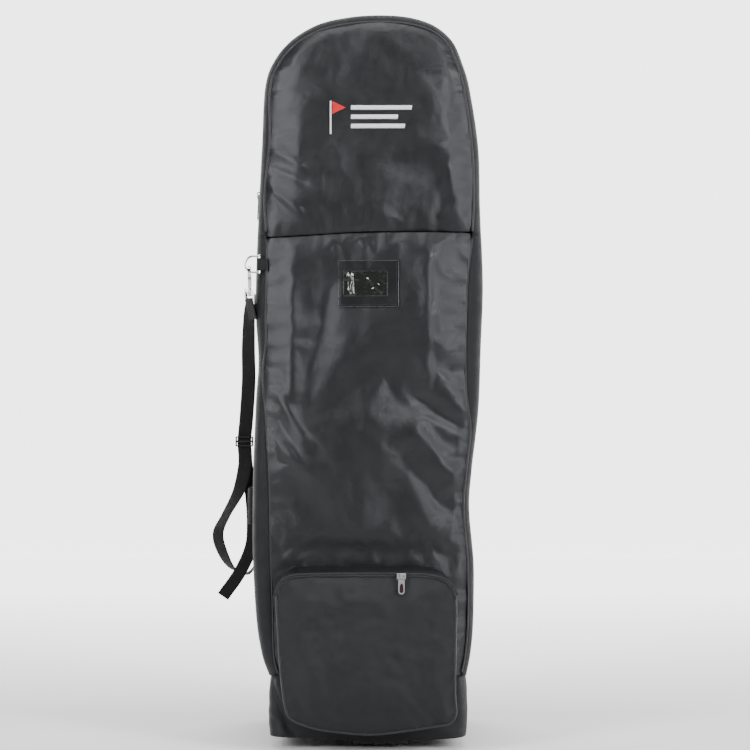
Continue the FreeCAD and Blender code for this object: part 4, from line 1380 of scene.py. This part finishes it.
def pull_inlay():
    """Dark enamel panel in the middle of the pocket's pull tab."""
    low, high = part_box("pocket_pull")
    middle = (low[0] + high[0]) / 2
    z0, z1 = low[2] + 0.0022, high[2] - 0.0115
    half = 0.0034
    outline = [(middle + half * math.sin(a), z0 + half - half * math.cos(a))
               for a in np.linspace(-math.pi / 2, math.pi / 2, 13)]
    outline += [(middle + half, z1), (middle - half, z1)]
    flat, faces = panel_points(outline, 0.0016)
    x, z = flat.T
    inlay = panel_object("pull_inlay", x, np.full(len(x), low[1] - 0.0002), z, faces, ENAMEL)
    put(thicken(inlay, 0.0004), "pocket_pull", "zip_pull")


# Camera, light and floor


def build_stage():
    """Pale floor that curves up behind the case. It glows more with the distance."""
    white, tree, shader, coords = new_material("backdrop")
    far = map_range(tree, split_xyz(tree, coords)[1], 0.0, 1.0, 0.2, 2.3)
    set_inputs(
        tree, shader, Base_Color=ramp(tree, far, (0.92, 0.92, 0.92), (0.10, 0.10, 0.10)),
        Roughness=0.9, Specular_IOR_Level=0.0, Emission_Color=(1, 1, 1, 1),
        Emission_Strength=map_range(tree, far, 0.0, 3.7, 0.0, 1.0))
    profile = [(-9.0, 0.0), (2.4, 0.0), (3.2, 0.10), (3.9, 0.6), (4.1, 1.4), (4.1, 7.0)]
    rows = [[(-9.0, y, z), (9.0, y, z)] for y, z in spline(profile, 80)]
    floor = grid_object("backdrop", np.array(rows), white, flip=True)
    floor.location.z = -0.0005


def area_light(name, place, target, width, height, power):
    data = bpy.data.lights.new(name, "AREA")
    data.shape = "RECTANGLE"
    data.size = width
    data.size_y = height
    data.energy = power
    data.spread = math.radians(95)
    obj = bpy.data.objects.new(name, data)
    bpy.context.scene.collection.objects.link(obj)
    obj.location = place
    aim = Vector(target) - Vector(place)
    obj.rotation_euler = aim.to_track_quat("-Z", "Y").to_euler()


def build_light():
    world = bpy.data.worlds.new("studio")
    world.use_nodes = True
    set_inputs(world.node_tree, world.node_tree.nodes["Background"], Color=(1, 1, 1, 1),
               Strength=0.10)
    bpy.context.scene.world = world
    area_light("left_key", (-2.1, -2.0, 1.75), (0, 0, 1.15), 0.8, 1.6, 26)
    area_light("right_key", (2.2, -1.9, 1.6), (0, 0, 0.95), 0.8, 1.6, 30)
    area_light("overhead", (0.1, -0.5, 3.2), (0, 0.3, 0.6), 1.8, 1.4, 15)


def build_camera():
    data = bpy.data.cameras.new("camera")
    data.sensor_width = 36.0
    data.lens = data.sensor_width * VIEW_DISTANCE / VIEW_WIDTH
    data.clip_end = 60
    camera = bpy.data.objects.new("camera", data)
    bpy.context.scene.collection.objects.link(camera)
    camera.location = (0.012, FRONT - VIEW_DISTANCE, 0.642)
    camera.rotation_euler = (math.radians(90), 0, 0)
    bpy.context.scene.camera = camera


build_camera()
build_light()
build_stage()
build_shell()
build_piping()
build_pocket()
build_boot()
build_main_zip()
build_padding()
build_window()
build_emblem()
build_strap()
build_handles()
build_wheels()
build_kept()
